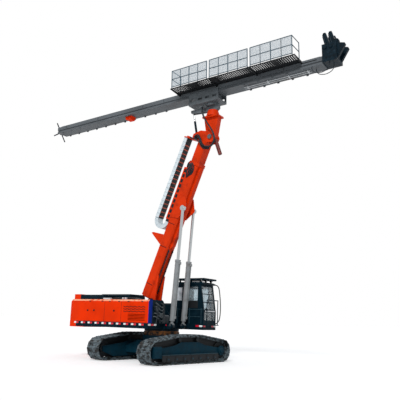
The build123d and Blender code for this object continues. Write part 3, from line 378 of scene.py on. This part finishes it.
def meshed(curve):
    """The curve's mesh, in place of the curve."""
    bpy.context.view_layer.update()
    mesh = bpy.data.meshes.new_from_object(curve.evaluated_get(bpy.context.evaluated_depsgraph_get()))
    bpy.data.objects.remove(curve)
    return mesh


def centreline(points):
    """Points along the smooth line, and its length."""
    mesh = meshed(spline("line", points, 0))
    places = [v.co.copy() for v in mesh.vertices]
    bpy.data.meshes.remove(mesh)
    return places, sum((b - a).length for a, b in zip(places, places[1:]))


HEAD_HOSE_R, HEAD_HOSE_Y = 0.023, (-0.32, -0.385)
CLAMP_HOSE_R, CLAMP_HOSE_Y, CLAMP_HOSE_STEP = 0.014, (-0.22, 0), 0.09
ARM, ARM_OUT = (HEAD.inverted() @ BOOM @ Vector((x, 0, 6.975)) for x in (-0.95, -0.689))
HEAD_ROUTE = [(ARM.x, ARM.z), (ARM_OUT.x, ARM_OUT.z), (-0.39, -0.215), (-0.15, -0.453), (0.128, -0.509),
              (0.322, -0.313), (0.299, -0.012), (0.155, 0.281), (-0.049, 0.575), (-0.223, 0.879), (-0.3, 1.14),
              (-0.3, 1.3)]
for i, y in enumerate(HEAD_HOSE_Y):
    route = [HEAD @ Vector((x, y, z)) for x, z in HEAD_ROUTE]
    path, length = centreline(route)
    tube = meshed(spline("round", route, HEAD_HOSE_R))
    hose = bpy.data.objects.new(f"head_hose_round_{i + 1}", tube)
    scene.collection.objects.link(hose)
    tube.materials.clear()
    tube.materials.append(RUBBER)
    tube.polygons.foreach_set("use_smooth", [True] * len(tube.polygons))
    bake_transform(hose)
    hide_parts(f"head_hose_{i + 1}")

LOOP_ROUTE = [(4.55, 1.89), (4.55, 1.805), (4.597, 1.705), (4.691, 1.631), (4.895, 1.581), (5.098, 1.631),
              (5.193, 1.705), (5.244, 1.815), (5.244, 1.92)]
for i, y in enumerate(CLAMP_HOSE_Y):
    route = [HEAD @ Vector((x + CLAMP_HOSE_STEP * i, y, z)) for x, z in LOOP_ROUTE]
    _, length = centreline(route)
    hose = spline(f"clamp_hose_round_{i + 1}", route, CLAMP_HOSE_R)
    hose.data.materials.append(RUBBER)
    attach(hose, "mast")
    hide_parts(f"clamp_hose_{i + 1}")


# Small detail: shapes that the pieces are made of

def turns(count):
    """Angles that share out a full turn."""
    return [2 * math.pi * k / count for k in range(count)]


def joined(bm, one, two):
    """Faces between two closed rows of corners."""
    for k in range(len(one)):
        j = (k + 1) % len(one)
        bm.faces.new((one[k], one[j], two[j], two[k]))


def stacked(bm, rows):
    """A closed form through rows of points, each as (x, y, z)."""
    layers = [[bm.verts.new(point) for point in row] for row in rows]
    for one, two in zip(layers, layers[1:]):
        joined(bm, one, two)
    bm.faces.new(layers[0][::-1])
    bm.faces.new(layers[-1])


def slab(bm, x, y, z, bevel=0.004):
    """A box between limits with broken edges."""
    verts = bmesh.ops.create_cube(bm, size=1)["verts"]
    for v in verts:
        v.co = [(a + b) / 2 + c * (b - a) for (a, b), c in zip((x, y, z), v.co)]
    edges = list({e for v in verts for e in v.link_edges})
    bmesh.ops.bevel(bm, geom=edges, offset=bevel, segments=1, affect="EDGES", clamp_overlap=True)


def bar(bm, a, b, r, sides=14, tip=None):
    """A round bar between two points, or a cone to another radius."""
    a, b = Vector(a), Vector(b)
    turn = Vector((0, 0, 1)).rotation_difference(b - a).to_matrix().to_4x4()
    bmesh.ops.create_cone(bm, cap_ends=True, segments=sides, radius1=r, radius2=r if tip is None else tip,
                          depth=(b - a).length, matrix=Matrix.Translation((a + b) / 2) @ turn)


def ring(bm, y, z, inner, outer, sides=28):
    """A band round an upright axis at y, between two heights."""
    rows = [[bm.verts.new((r * math.cos(t), y + r * math.sin(t), at)) for t in turns(sides)]
            for r, at in ((inner, z[0]), (outer, z[0]), (outer, z[1]), (inner, z[1]))]
    for one, two in zip(rows, rows[1:] + rows[:1]):
        joined(bm, one, two)


def prism(bm, points, y):
    """A side profile of (x, z) points between two limits in y."""
    stacked(bm, [[(px, at, pz) for px, pz in points] for at in y])


def bolts(bm, places, way, r=0.018, h=0.014):
    """Hex heads that stand on a face."""
    for place in places:
        bar(bm, place, Vector(place) + Vector(way) * h, r, 6)


def bent(bm, points, r, sides=10):
    """A pipe along points, with smooth bends."""
    places, _ = centreline(points)
    rows = []
    for i, place in enumerate(places):
        way = (places[min(i + 1, len(places) - 1)] - places[max(i - 1, 0)]).normalized()
        across = way.cross(Vector((0.31, 0.52, 0.79))).normalized()
        other = way.cross(across)
        rows.append([place + (across * math.cos(t) + other * math.sin(t)) * r for t in turns(sides)])
    stacked(bm, rows)


def piece(name, bm, body, finish, where=HERE):
    """Places the mesh in the shared frame and lets it ride on a body."""
    bmesh.ops.recalc_face_normals(bm, faces=bm.faces)
    bm.transform(where)
    mesh = bpy.data.meshes.new(name)
    bm.to_mesh(mesh)
    bm.free()
    mesh.polygons.foreach_set("use_smooth", [True] * len(mesh.polygons))
    mesh.set_sharp_from_angle(angle=math.radians(32))
    mesh.materials.append(finish)
    made = bpy.data.objects.new(name, mesh)
    scene.collection.objects.link(made)
    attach(made, body)
    return made


# Reflective blocks along the deck's edges
BLOCK_Z, BLOCK_T = (1.375, 1.445), 0.012
BLOCK_PITCH = 0.39


def block(bm, x, y):
    """One reflector between limits."""
    slab(bm, x, y, BLOCK_Z, 0.003)


reds, whites = bmesh.new(), bmesh.new()
for i in range(10):
    x = -3.36 + BLOCK_PITCH * i
    block(whites, (x - 0.125, x - 0.01), (-SIDE - BLOCK_T, -SIDE))
    block(reds, (x, x + 0.12), (-SIDE - BLOCK_T, -SIDE))
for bm, x, y in ((whites, 0.47, -1.49), (reds, 0.47, -1.31), (whites, 0.47, -1.13), (reds, 0.6, -0.55),
                 (whites, 0.6, -0.37), (reds, CAB_FRONT, 0.57), (reds, CAB_FRONT, 1.16), (whites, CAB_FRONT, 1.33)):
    block(bm, (x, x + BLOCK_T), (y, y + 0.15))
block(reds, (1.29, 1.44), (CAB_INNER - BLOCK_T, CAB_INNER))
block(whites, (1.46, 1.61), (CAB_INNER - BLOCK_T, CAB_INNER))
for x in (-2.6, -1.6, -0.6, 0.2):
    block(reds, (x, x + 0.13), (SIDE, SIDE + BLOCK_T))
    block(whites, (x + 0.135, x + 0.25), (SIDE, SIDE + BLOCK_T))
piece("reflectors_red", reds, "upper", RED)
piece("reflectors_white", whites, "upper", WHITE)

# Right hood: panel joints, locks, pressed louvres, and a pale strip on the top bevel, a painted highlight
JOINT_HALF = 0.006
JOINT_Y = (-SIDE - 0.003, -SIDE + 0.004)
LOCK_Z = 1.91
bm = bmesh.new()
for x in (-1.82, -0.92):
    slab(bm, (x - JOINT_HALF, x + JOINT_HALF), JOINT_Y, (1.475, 2.285), 0.001)
slab(bm, HOOD_X, JOINT_Y, (1.478, 1.486), 0.001)
piece("hood_joints", bm, "upper", SEAM)
bm = bmesh.new()
for x in (-2.76, -2.4, -1.3):
    bar(bm, (x, -SIDE + 0.002, LOCK_Z), (x, -SIDE - 0.018, LOCK_Z), 0.036, 18)
    slab(bm, (x - 0.008, x + 0.008), (-SIDE - 0.03, -SIDE - 0.014), (LOCK_Z - 0.025, LOCK_Z + 0.025), 0.003)
for x in (-2.7, -2.0, -1.6, -1.1, -0.6, 0.1):
    slab(bm, (x, x + 0.09), (-SIDE - 0.012, -SIDE + 0.05), (2.262, 2.296), 0.005)
piece("hood_locks", bm, "upper", DARK)

LOUVRE_W, LOUVRE_H, LOUVRE_RISE = 0.085, 0.026, 0.03
LOUVRE_PITCH = (0.101, 0.09)
bm = bmesh.new()
for row in range(3):
    for k in range(11):
        x, z = -0.8 + LOUVRE_PITCH[0] * k, 1.87 + LOUVRE_PITCH[1] * row
        start, end = (z, z + LOUVRE_RISE) if k % 2 else (z + LOUVRE_RISE, z)
        prism(bm, [(x, start), (x + LOUVRE_W, end), (x + LOUVRE_W, end + LOUVRE_H), (x, start + LOUVRE_H)],
              (-SIDE - 0.012, -SIDE + 0.003))
piece("hood_louvres", bm, "upper", SEAM)
bm = bmesh.new()
# The hood's top bevel as a pale strip: a painted highlight.
turned = Matrix.Translation((0, -SIDE + 0.035, HOOD_TOP - 0.035)) @ Matrix.Rotation(math.radians(45), 4, "X")
slab(bm, (-3.7, HOOD_X[1]), (-0.046, 0.046), (-0.002, 0.0035), 0.002)
piece("hood_bevel_highlight", bm, "upper", PALE_ORANGE, turned)

# Counterweight: rounded rear, low lip and raised block, which the solid lacks; dark boxes on the hood
SKIN_Y, SKIN_FRONT = SIDE + 0.002, -2.946
REAR = -3.9
TOP_BOX_Y = (-1.39, -1.06)
BOX_FOOT = HOOD_TOP - 0.005


def rear_plan(half, rear, radius, z):
    """A block's outline with two rounded rear corners."""
    corner = [(rear + radius - radius * math.sin(t), half - radius + radius * math.cos(t))
              for t in [math.pi / 2 * k / 6 for k in range(7)]]
    near = [(x, -y, z) for x, y in corner]
    return [(SKIN_FRONT, -half, z), *near, *[(x, y, z) for x, y in reversed(corner)], (SKIN_FRONT, half, z)]


bm = bmesh.new()
stacked(bm, [rear_plan(SKIN_Y, REAR, 0.25, 1.468), rear_plan(SKIN_Y, REAR, 0.25, 2.255),
             rear_plan(SKIN_Y - 0.03, REAR + 0.03, 0.22, 2.285)])
LIP = [(SKIN_FRONT, -SKIN_Y), (-3.75, -SKIN_Y), (-3.96, -1.29), (-3.96, 1.29), (-3.75, SKIN_Y), (SKIN_FRONT, SKIN_Y)]
stacked(bm, [[(x, y, z) for x, y in LIP] for z in (1.228, DECK_TOP)])
RIDGE = [(-SKIN_Y, 2.25), (-SKIN_Y, 2.288), (-1.43, HOOD_TOP), (TOP_BOX_Y[1], HOOD_TOP), (TOP_BOX_Y[1], 2.25)]
stacked(bm, [[(x, y, z) for y, z in RIDGE] for x in (-3.72, SKIN_FRONT)])
slab(bm, (-3.7, -3.34), TOP_BOX_Y, (BOX_FOOT, 2.57), 0.01)
piece("counterweight_rear", bm, "upper", ORANGE)
bm = bmesh.new()
slab(bm, (-3.345, -2.94), TOP_BOX_Y, (BOX_FOOT, 2.55), 0.012)
slab(bm, (-2.945, -2.0), (TOP_BOX_Y[0], -0.57), (BOX_FOOT, 2.55), 0.012)
for y in (-SIDE - 0.005, SIDE):
    slab(bm, (-3.39, -2.94), (y, y + 0.005), (1.252, 1.468), 0.001)
piece("hood_top_boxes", bm, "upper", DECK)

# Left hood and rear: joints, grille, locks, counterweight bolts
REAR_FACE = REAR + 0.002
bm = bmesh.new()
for x in (-2.1, -1.2, -0.5):
    slab(bm, (x - JOINT_HALF, x + JOINT_HALF), (SIDE - 0.004, SIDE + 0.003), (1.475, 2.23), 0.001)
for k in range(9):
    slab(bm, (-2.85, -2.25), (SIDE - 0.004, SIDE + 0.008), (1.62 + 0.06 * k, 1.645 + 0.06 * k), 0.003)
for y in (-0.5, 0.5):
    slab(bm, (REAR_FACE - 0.006, REAR_FACE), (y - 0.005, y + 0.005), (1.48, 2.26), 0.001)
piece("rear_joints", bm, "upper", SEAM)
bm = bmesh.new()
for x in (-1.9, -1.2, -0.3):
    bar(bm, (x, SIDE - 0.002, 1.9), (x, SIDE + 0.018, 1.9), 0.03, 18)
bolts(bm, [(REAR_FACE, y, z) for y in (-1.0, 1.0) for z in (1.6, 2.1)], (-1, 0, 0), 0.04, 0.03)
piece("rear_locks", bm, "upper", DARK)

# Hood top: hose runs, pale strip and blocks
bm = bmesh.new()
for y in (-1.15, -1.02, -0.9):
    bent(bm, [(-1.85, y, 2.365), (-1.75, y, 2.4), (-1.5, y + 0.05, 2.42), (-1.1, y + 0.02, 2.39), (-0.8, y, 2.43),
              (-0.5, y + 0.08, 2.4), (-0.32, y + 0.1, 2.365)], 0.028)
piece("deck_hoses", bm, "upper", RUBBER)
bm = bmesh.new()
slab(bm, (-2.02, -1.62), (-1.42, -1.3), (BOX_FOOT, 2.42), 0.012)
for x in (-1.0, -0.86):
    slab(bm, (x, x + 0.06), (-1.4, -1.3), (BOX_FOOT, 2.44), 0.01)
piece("deck_pipe", bm, "upper", PIPE)

# Cab: side slats, rear pane, windscreen bars, wiper, bent rail, roof plate, door handle, pale sill, lamp glasses
CAB_WALL = CAB_INNER + 0.002
# The slats are in the lighter edge paint, a painted highlight.
bm = bmesh.new()
for z in (1.76, 2.05):
    slab(bm, (0.3, 1.6), (0.54, CAB_WALL), (z, z + 0.03), 0.006)
for x in (0.34, 0.94, 1.52):
    slab(bm, (x, x + 0.035), (0.545, CAB_WALL), (1.5, 2.12), 0.005)
piece("cab_slats", bm, "upper", EDGE)
bm = bmesh.new()
slab(bm, (0.32, 0.56), (0.553, CAB_WALL), (2.42, 2.95), 0.003)
piece("cab_rear_pane", bm, "upper", PALE_GLASS)


def screen_x(z):
    """The windscreen's outer face at a height."""
    return CAB_FRONT - max(0, z - CAB_BEND) * (0.17 / 1.1)


WIPER = ((0.75, 2.08), (1.12, 2.62))
bm = bmesh.new()
for z in (2.34, 2.68):
    slab(bm, (screen_x(z) - 0.03, screen_x(z) + 0.008), (0.62, 1.44), (z, z + 0.03), 0.005)
bar(bm, *[(screen_x(z) + 0.012, y, z) for y, z in WIPER], 0.011, 8)
slab(bm, (1.64, 1.69), (0.7, 0.82), (2.02, 2.1), 0.012)
bent(bm, [(1.52, 1.52, 3.12), (1.72, 1.53, 3.1), (1.8, 1.53, 2.8), (1.86, 1.53, 2.2), (1.83, 1.53, 1.7),
          (1.7, 1.52, 1.52), (1.6, 1.5, 1.5)], 0.02)
slab(bm, (0.6, 1.36), (0.548, CAB_WALL), (2.12, 2.42), 0.004)
piece("cab_fittings", bm, "upper", DARK)
bm = bmesh.new()
slab(bm, (0.2, 1.64), (0.54, 1.52), (3.265, 3.335), 0.012)
for x in (0.34, 0.9):
    for y in (0.66, 1.4):
        slab(bm, (x, x + 0.06), (y - 0.03, y + 0.03), (3.175, 3.27), 0.004)
piece("cab_roof_plate", bm, "upper", CAB)
bm = bmesh.new()
slab(bm, (1.22, 1.3), (SIDE - 0.002, SIDE + 0.02), (1.99, 2.02), 0.006)
piece("door_handle", bm, "cab_door", DARK)
bm = bmesh.new()
slab(bm, (CAB_FRONT - 0.002, CAB_FRONT + 0.014), (0.66, 1.4), (1.985, 2.03), 0.006)
piece("cab_sill", bm, "upper", PIPE)
bm = bmesh.new()
for y in (0.63, 1.03, 1.43):
    bar(bm, (LAMP_X, y, LAMP_Z), (LAMP_X + 0.012, y, LAMP_Z), 0.048, 24)
    bar(bm, (LAMP_X, y, LAMP_Z), (LAMP_X + 0.02, y, LAMP_Z), 0.03, 24, 0.02)
piece("lamp_glasses", bm, "upper", lens())

# Seat with crowned cushions, its base, the console and two levers
bm = bmesh.new()
slab(bm, (0.64, 0.98), (0.92, 1.14), (1.51, 1.84), 0.03)
slab(bm, (0.6, 1.02), (0.84, 1.22), (1.8, 1.85), 0.012)
slab(bm, (1.38, 1.5), (0.8, 1.26), (1.51, 1.99), 0.03)
for y in (0.9, 1.16):
    bar(bm, (1.4, y, 1.95), (1.32, y, 2.12), 0.016, 10)
base = piece("seat_base", bm, "upper", DARK)
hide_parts("cab_seat")
for name, limits in (("seat_cushion", ((0.58, 1.06), (0.8, 1.26), (1.855, 1.95))),
                     ("seat_back", ((0.57, 0.67), (0.81, 1.25), (1.97, 2.55)))):
    bm = bmesh.new()
    slab(bm, *limits, 0.03)
    pad = piece(name, bm, "upper", CLOTH)
    pad.modifiers.new("crown", "SUBSURF").levels = 2
    pad.modifiers["crown"].render_levels = 2
    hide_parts("cab_seat")

# Pedestal: ribs, bolts, pin caps, hose runs and valve blocks at the boom's foot
bm = bmesh.new()
for out in (-1, 1):
    y = out * PEDESTAL_Y
    for foot, head in ((-0.95, -0.52), (0.2, -0.3)):
        bar(bm, (foot, y + out * 0.012, 1.5), (head, y + out * 0.012, 2.25), 0.022, 8)
    bolts(bm, [(x, y, 1.52) for x in (-1.0, -0.7, -0.4, -0.1, 0.2)], (0, out, 0), 0.025, 0.02)
    bar(bm, (PIVOT.x, y, PIVOT.z), (PIVOT.x, y + out * 0.05, PIVOT.z), 0.1, 24)
piece("pedestal_ribs", bm, "upper", DECK)
bm = bmesh.new()
for k, y in enumerate((-0.42, -0.47, -0.52)):
    bent(bm, [(-0.7, y, 1.475), (-0.66, y, 1.75), (-0.4, y, 1.95 + 0.05 * k), (0.0, y, 1.85), (0.25, y, 1.65),
              (0.3, y, 1.475)], 0.02)
piece("pedestal_hoses", bm, "upper", RUBBER)
bm = bmesh.new()
slab(bm, (-0.25, 0.15), (-0.53, -0.4), (DECK_TOP, 1.6), 0.012)
slab(bm, (0.26, 0.44), (-0.5, -0.36), (DECK_TOP, 1.72), 0.012)
bar(bm, (-0.2, -0.46, 1.64), (0.1, -0.46, 1.64), 0.045, 16)
piece("pedestal_valves", bm, "upper", GREY)

# Front of the hood: pipes, valve blocks, hoses and a brace before the dark panel
bm = bmesh.new()
for k in range(5):
    z = 1.6 + 0.13 * k
    bent(bm, [(0.475, -1.2 + 0.04 * k, z + 0.12), (0.55, -1.16, z + 0.14), (0.57, -0.95, z + 0.02),
              (0.56, -0.75, z - 0.06), (0.53, -0.62, z + 0.05), (0.47, -0.6, z + 0.1)], 0.017)
slab(bm, (0.478, 0.54), (-1.06, -0.9), (1.96, 2.08), 0.01)
slab(bm, (0.478, 0.53), (-0.84, -0.66), (1.72, 1.86), 0.01)
piece("front_pipes", bm, "upper", GREY)
bm = bmesh.new()
for y in (-1.12, -0.72):
    bent(bm, [(0.475, y, 2.24), (0.58, y + 0.03, 2.2), (0.585, y + 0.1, 1.9), (0.57, y + 0.02, 1.6),
              (0.56, y, 1.475)], 0.026)
bar(bm, (0.55, -1.24, 2.12), (0.57, -0.86, 1.48), 0.03, 8)
piece("front_hoses", bm, "upper", RUBBER)

# Slew ring: bolts round its edge
RING_R, RING_BOLTS = 0.7, 30
bm = bmesh.new()
for t in turns(RING_BOLTS):
    x, y = RING_R * math.cos(t), RING_R * math.sin(t)
    bar(bm, (x, y, 1.03), (x, y, 1.15), 0.022, 8)
piece("ring_bolts", bm, "undercarriage", BRONZE)

# Crawler: drive covers, idler hubs, bolts
TRACKS = (("left", TRACK_Y, 1), ("right", -TRACK_Y, -1))
HUB_BOLTS_R = 0.15
for side_name, centre, out in TRACKS:
    bm = bmesh.new()
    face = centre + out * FRAME_FACE
    far = face + out * 0.014
    slab(bm, (-2.14, -1.76), sorted((face, far)), (0.28, 0.63), 0.008)
    bolts(bm, [(x, far, z) for x in (-2.1, -1.8) for z in (0.32, 0.59)], (0, out, 0), 0.02, 0.014)
    hub = centre + out * HUB_FACE
    plate = hub + out * 0.06
    bar(bm, (AXLE_X, hub, AXLE_Z), (AXLE_X, plate, AXLE_Z), 0.19, 28)
    bar(bm, (AXLE_X, plate, AXLE_Z), (AXLE_X, hub + out * 0.1, AXLE_Z), 0.11, 24, 0.09)
    bolts(bm, [(AXLE_X + HUB_BOLTS_R * math.cos(t), plate, AXLE_Z + HUB_BOLTS_R * math.sin(t)) for t in turns(8)],
          (0, out, 0), 0.016, 0.012)
    piece(f"crawler_covers_{side_name}", bm, "undercarriage", CRAWLER, TRACK)

# Crawler: plates that close the tracks between frame and belt, black as painted shade; ledges on the frames in a
# painted highlight; below them a dark band, painted shade round the rollers, with dark roller discs
PLATE = [(-1.72, 0.12), (1.72, 0.12), (1.88, 0.3), (1.88, 0.81), (0.55, 1.0), (-0.55, 1.0), (-1.88, 0.81),
         (-1.88, 0.3)]
PLATE_HALF = 0.008
LEDGE_Z, ROLLER_Z = 0.345, 0.2
# The plates close the gap under the belt's upper run; their black is painted shade.
bm = bmesh.new()
for centre in (-TRACK_Y, TRACK_Y):
    prism(bm, PLATE, (centre - PLATE_HALF, centre + PLATE_HALF))
piece("track_infill", bm, "undercarriage", DARK, TRACK)
# The band below each ledge is painted shade round the rollers; the roller discs sit on it.
ledges, rollers_and_shade = bmesh.new(), bmesh.new()
for _, centre, out in TRACKS:
    face = centre + out * FRAME_FACE
    slab(ledges, (-1.7, 1.55), sorted((face - out * 0.01, face + out * 0.028)), (LEDGE_Z, LEDGE_Z + 0.027), 0.006)
    slab(rollers_and_shade, (-1.7, 1.62), sorted((face - out * 0.01, face + out * 0.006)), (0.13, LEDGE_Z), 0.004)
    for k in range(7):
        x = -1.38 + 0.46 * k
        bar(rollers_and_shade, (x, face, ROLLER_Z), (x, face + out * 0.02, ROLLER_Z), 0.1, 24)
        bar(ledges, (x, face + out * 0.018, ROLLER_Z), (x, face + out * 0.03, ROLLER_Z), 0.034, 14)
piece("frame_ledges", ledges, "undercarriage", EDGE, TRACK)
piece("rollers_and_painted_shade", rollers_and_shade, "undercarriage", DARK, TRACK)

# Boom: weld bands, collar bolts, pin caps, dark liner and hoses of the chain tray
bm = bmesh.new()
for z in (0.62, 2.28, 3.3):
    for y in (-0.281, 0.281):
        slab(bm, (-0.57, -0.23), (y - 0.004, y + 0.004), (z, z + 0.03), 0.002)
bolts(bm, [(x, y, z) for y in (-0.305, 0.305) for x in (-0.55, -0.4, -0.25) for z in (5.96, 6.02)], (0, 0, 1), 0.02,
      0.001)
piece("boom_welds", bm, "outer_boom", SEAM, BOOM)
bm = bmesh.new()
for out in (-1, 1):
    bar(bm, (LIFT_EYE_X, out * 0.31, LIFT_EYE_Z), (LIFT_EYE_X, out * 0.325, LIFT_EYE_Z), 0.11, 24)
    bar(bm, (0, out * 0.365, 0), (0, out * 0.39, 0), 0.09, 24)
piece("boom_caps", bm, "outer_boom", BOOM_PAINT, BOOM)
bm = bmesh.new()
for out in (-1, 1):
    slab(bm, (-0.82, -0.66), sorted((out * 0.1785, out * 0.1825)), (3.44, 5.72), 0.001)
piece("tray_liner", bm, "outer_boom", DARK, BOOM)
bm = bmesh.new()
for k in range(5):
    x, y = 0.05 * k, -0.03 * k
    bent(bm, [(-0.82 + x, y - 0.05, 5.735), (-0.8 + x, y - 0.12, 5.88), (-0.66 + x, y - 0.22, 6.02 - x),
              (-0.46, y - 0.3, 6.0 - 1.4 * x), (-0.3 - x, y - 0.31, 5.85 - x), (-0.26 - x, y - 0.3, 5.68 - x),
              (-0.3 - x, -0.275, 5.52 - x)], 0.026)
piece("tray_hoses", bm, "outer_boom", RUBBER, BOOM)

# Boom head: fixed hoses from the chain's arm, caps on the head's pin
ARM_HOSE_Y = -0.27
bm = bmesh.new()
for k in range(3):
    t = 0.055 * k
    bent(bm, [(-0.88 + t, -0.2, 6.98), (-0.86 + t, -0.24, 7.14 - t), (-0.7 + t, ARM_HOSE_Y, 7.2 - t),
              (-0.5, ARM_HOSE_Y, 7.06 - t), (-0.36, ARM_HOSE_Y, 6.88 - t), (-0.18, ARM_HOSE_Y, 6.8 - t),
              (0.0, ARM_HOSE_Y, 6.84 - t), (0.06, -0.225, 6.86 - t)], 0.027)
piece("arm_hoses", bm, "inner_boom", RUBBER, BOOM)
CAP_BOLTS_R = 0.07
bm = bmesh.new()
for out in (-1, 1):
    cap = out * 0.25
    bar(bm, (HEAD_PIN_X, out * 0.23, HEAD_PIN_Z), (HEAD_PIN_X, cap, HEAD_PIN_Z), 0.1, 24)
    bolts(bm, [(HEAD_PIN_X + CAP_BOLTS_R * math.cos(t), cap, HEAD_PIN_Z + CAP_BOLTS_R * math.sin(t))
               for t in (0, 1.57, 3.14, 4.71)], (0, out, 0), 0.014)
piece("head_pin_caps", bm, "inner_boom", GREY, BOOM)

# Lift cylinders: bands, hard pipes and port blocks
PORT_X, PIPE_X = (0.09, 0.16), 0.13
bm = bmesh.new()
for y in (-LIFT_Y, LIFT_Y):
    for z in (0.42, 2.35):
        ring(bm, y, (z, z + 0.04), 0.102, 0.11)
    bar(bm, (PIPE_X, y, 0.35), (PIPE_X, y, 2.45), 0.016, 10)
    for z in (2.42, 0.28):
        slab(bm, PORT_X, (y - 0.04, y + 0.04), (z, z + 0.1), 0.008)
piece("lift_bands", bm, "lift_barrels", BARREL, LIFT)

# Platform: wire mesh in the three railing panels, planks of the floor
PANEL_PITCH = (FLOOR_X[1] - FLOOR_X[0] - 0.04) / 3
PANEL_EDGE, WIRE_HALF, WIRE_PITCH, WIRE_ROWS = 0.06, 0.003, 0.03, 25
bm = bmesh.new()
for i in range(3):
    start = FLOOR_X[0] + PANEL_EDGE + i * PANEL_PITCH
    end = FLOOR_X[0] + (i + 1) * PANEL_PITCH - PANEL_EDGE
    count = int((end - start) / WIRE_PITCH)
    for k in range(1, count):
        x = start + (end - start) * k / count
        slab(bm, (x - WIRE_HALF, x + WIRE_HALF), (-1.003, -0.997), RAIL_Z, 0.0004)
    for k in range(1, WIRE_ROWS):
        z = RAIL_Z[0] + (RAIL_Z[1] - RAIL_Z[0]) * k / WIRE_ROWS
        slab(bm, (start, end), (-1.004, -0.998), (z - WIRE_HALF, z + WIRE_HALF), 0.0004)
piece("railing_mesh", bm, "mast", MESH_WIRE, HEAD)
PLANK_X, PLANK_Z = (FLOOR_X[0] + 0.03, FLOOR_X[1] - 0.03), (2.151, 2.157)
SLAT_W, SLAT_PITCH = 0.06, 0.0876
bm = bmesh.new()
slab(bm, PLANK_X, (-0.62, -0.35), PLANK_Z, 0.001)
for k in range(64):
    x = -1.46 + SLAT_PITCH * k
    slab(bm, (x, x + SLAT_W), (-0.99, -0.62), PLANK_Z, 0.001)
for y in (-0.9, -0.8, -0.7):
    slab(bm, PLANK_X, (y, y + 0.03), (2.15, 2.158), 0.001)
piece("platform_planks", bm, "mast", DARK, HEAD)

# Mast: front slots and joint strips on its sides
bm = bmesh.new()
for y in (-MAST_Y, MAST_Y):
    slab(bm, (4.2, 4.78), sorted((y, y * 1.012)), (2.085, 2.125), 0.002)
    for x in (-8.6, -6.4, -3.6, -2.4, 2.4, 3.4):
        slab(bm, (x, x + 0.02), sorted((y, y * 1.01)), (2.03, 2.18), 0.002)
piece("mast_slots", bm, "mast", DARK, HEAD)

# Clamps: pin heads and short cylinders
bm = bmesh.new()
for out in (-1, 1):
    for x in (5.12, 5.35):
        bar(bm, (x, out * 0.33, 2.5), (x, out * 0.37, 2.5), 0.07, 20)
        bar(bm, (x + 0.03, out * 0.27, 2.58), (x - 0.06, out * 0.27, 2.98), 0.04, 14)
    bar(bm, (5.53, out * 0.25, 2.68), (5.53, out * 0.28, 2.68), 0.06, 20)
piece("clamp_pins", bm, "mast", CLAMP, HEAD)

# Head: flange bolts
FLANGE_X, FLANGE_R = 0.025, (0.24, 0.21)
bm = bmesh.new()
for t in turns(20):
    x, y = FLANGE_X + FLANGE_R[0] * math.cos(t), FLANGE_R[1] * math.sin(t)
    bar(bm, (x, y, 0.93), (x, y, 0.955), 0.018, 6)
piece("flange_bolts", bm, "head", GREY, HEAD)


# Light: soft sky, one broad sun, pale floor

def shown(tree):
    """1 for the rays that show the background: from the camera, off gloss and through glass."""
    rays = tree.nodes.new("ShaderNodeLightPath")
    share = rays.outputs["Is Camera Ray"]
    for kind in ("Is Glossy Ray", "Is Transmission Ray"):
        most = tree.nodes.new("ShaderNodeMath")
        most.operation = "MAXIMUM"
        tree.links.new(share, most.inputs[0])
        tree.links.new(rays.outputs[kind], most.inputs[1])
        share = most.outputs[0]
    return share


SKY_STRENGTH, SUN_STRENGTH, FLOOR_GLOW = 0.48, 1.85, 0.3
SUN_FROM = Vector((0.3, -0.75, 0.62))
WHITE_LIGHT = (1, 1, 1, 1)
world = bpy.data.worlds.new("sky")
world.use_nodes = True
scene.world = world
tree = world.node_tree
sky = tree.nodes["Background"]
sky.inputs["Color"].default_value = (0.93, 0.96, 1, 1)
sky.inputs["Strength"].default_value = SKY_STRENGTH
seen = tree.nodes.new("ShaderNodeBackground")
seen.inputs["Color"].default_value = WHITE_LIGHT
mix = tree.nodes.new("ShaderNodeMixShader")
tree.links.new(shown(tree), mix.inputs[0])
tree.links.new(sky.outputs[0], mix.inputs[1])
tree.links.new(seen.outputs[0], mix.inputs[2])
tree.links.new(mix.outputs[0], tree.nodes["World Output"].inputs["Surface"])

sun = bpy.data.objects.new("sun", bpy.data.lights.new("sun", "SUN"))
sun.data.energy = SUN_STRENGTH
sun.data.angle = math.radians(14)
sun.rotation_euler = SUN_FROM.to_track_quat("Z", "Y").to_euler()
scene.collection.objects.link(sun)

floor = bpy.data.objects.new("floor", bpy.data.meshes.new("floor"))
bm = bmesh.new()
bmesh.ops.create_grid(bm, x_segments=1, y_segments=1, size=400)
bm.to_mesh(floor.data)
bm.free()
floor.location.z = -0.002
f = Finish("floor_paint")
f.set(Base_Color=f.mixed(f.spots(0.4), (0.86, 0.86, 0.86, 1), (0.9, 0.9, 0.9, 1)), Roughness=0.9)
f.set(Emission_Color=WHITE_LIGHT, Emission_Strength=f.times(shown(f.tree), FLOOR_GLOW))
floor.data.materials.append(f.material)
scene.collection.objects.link(floor)
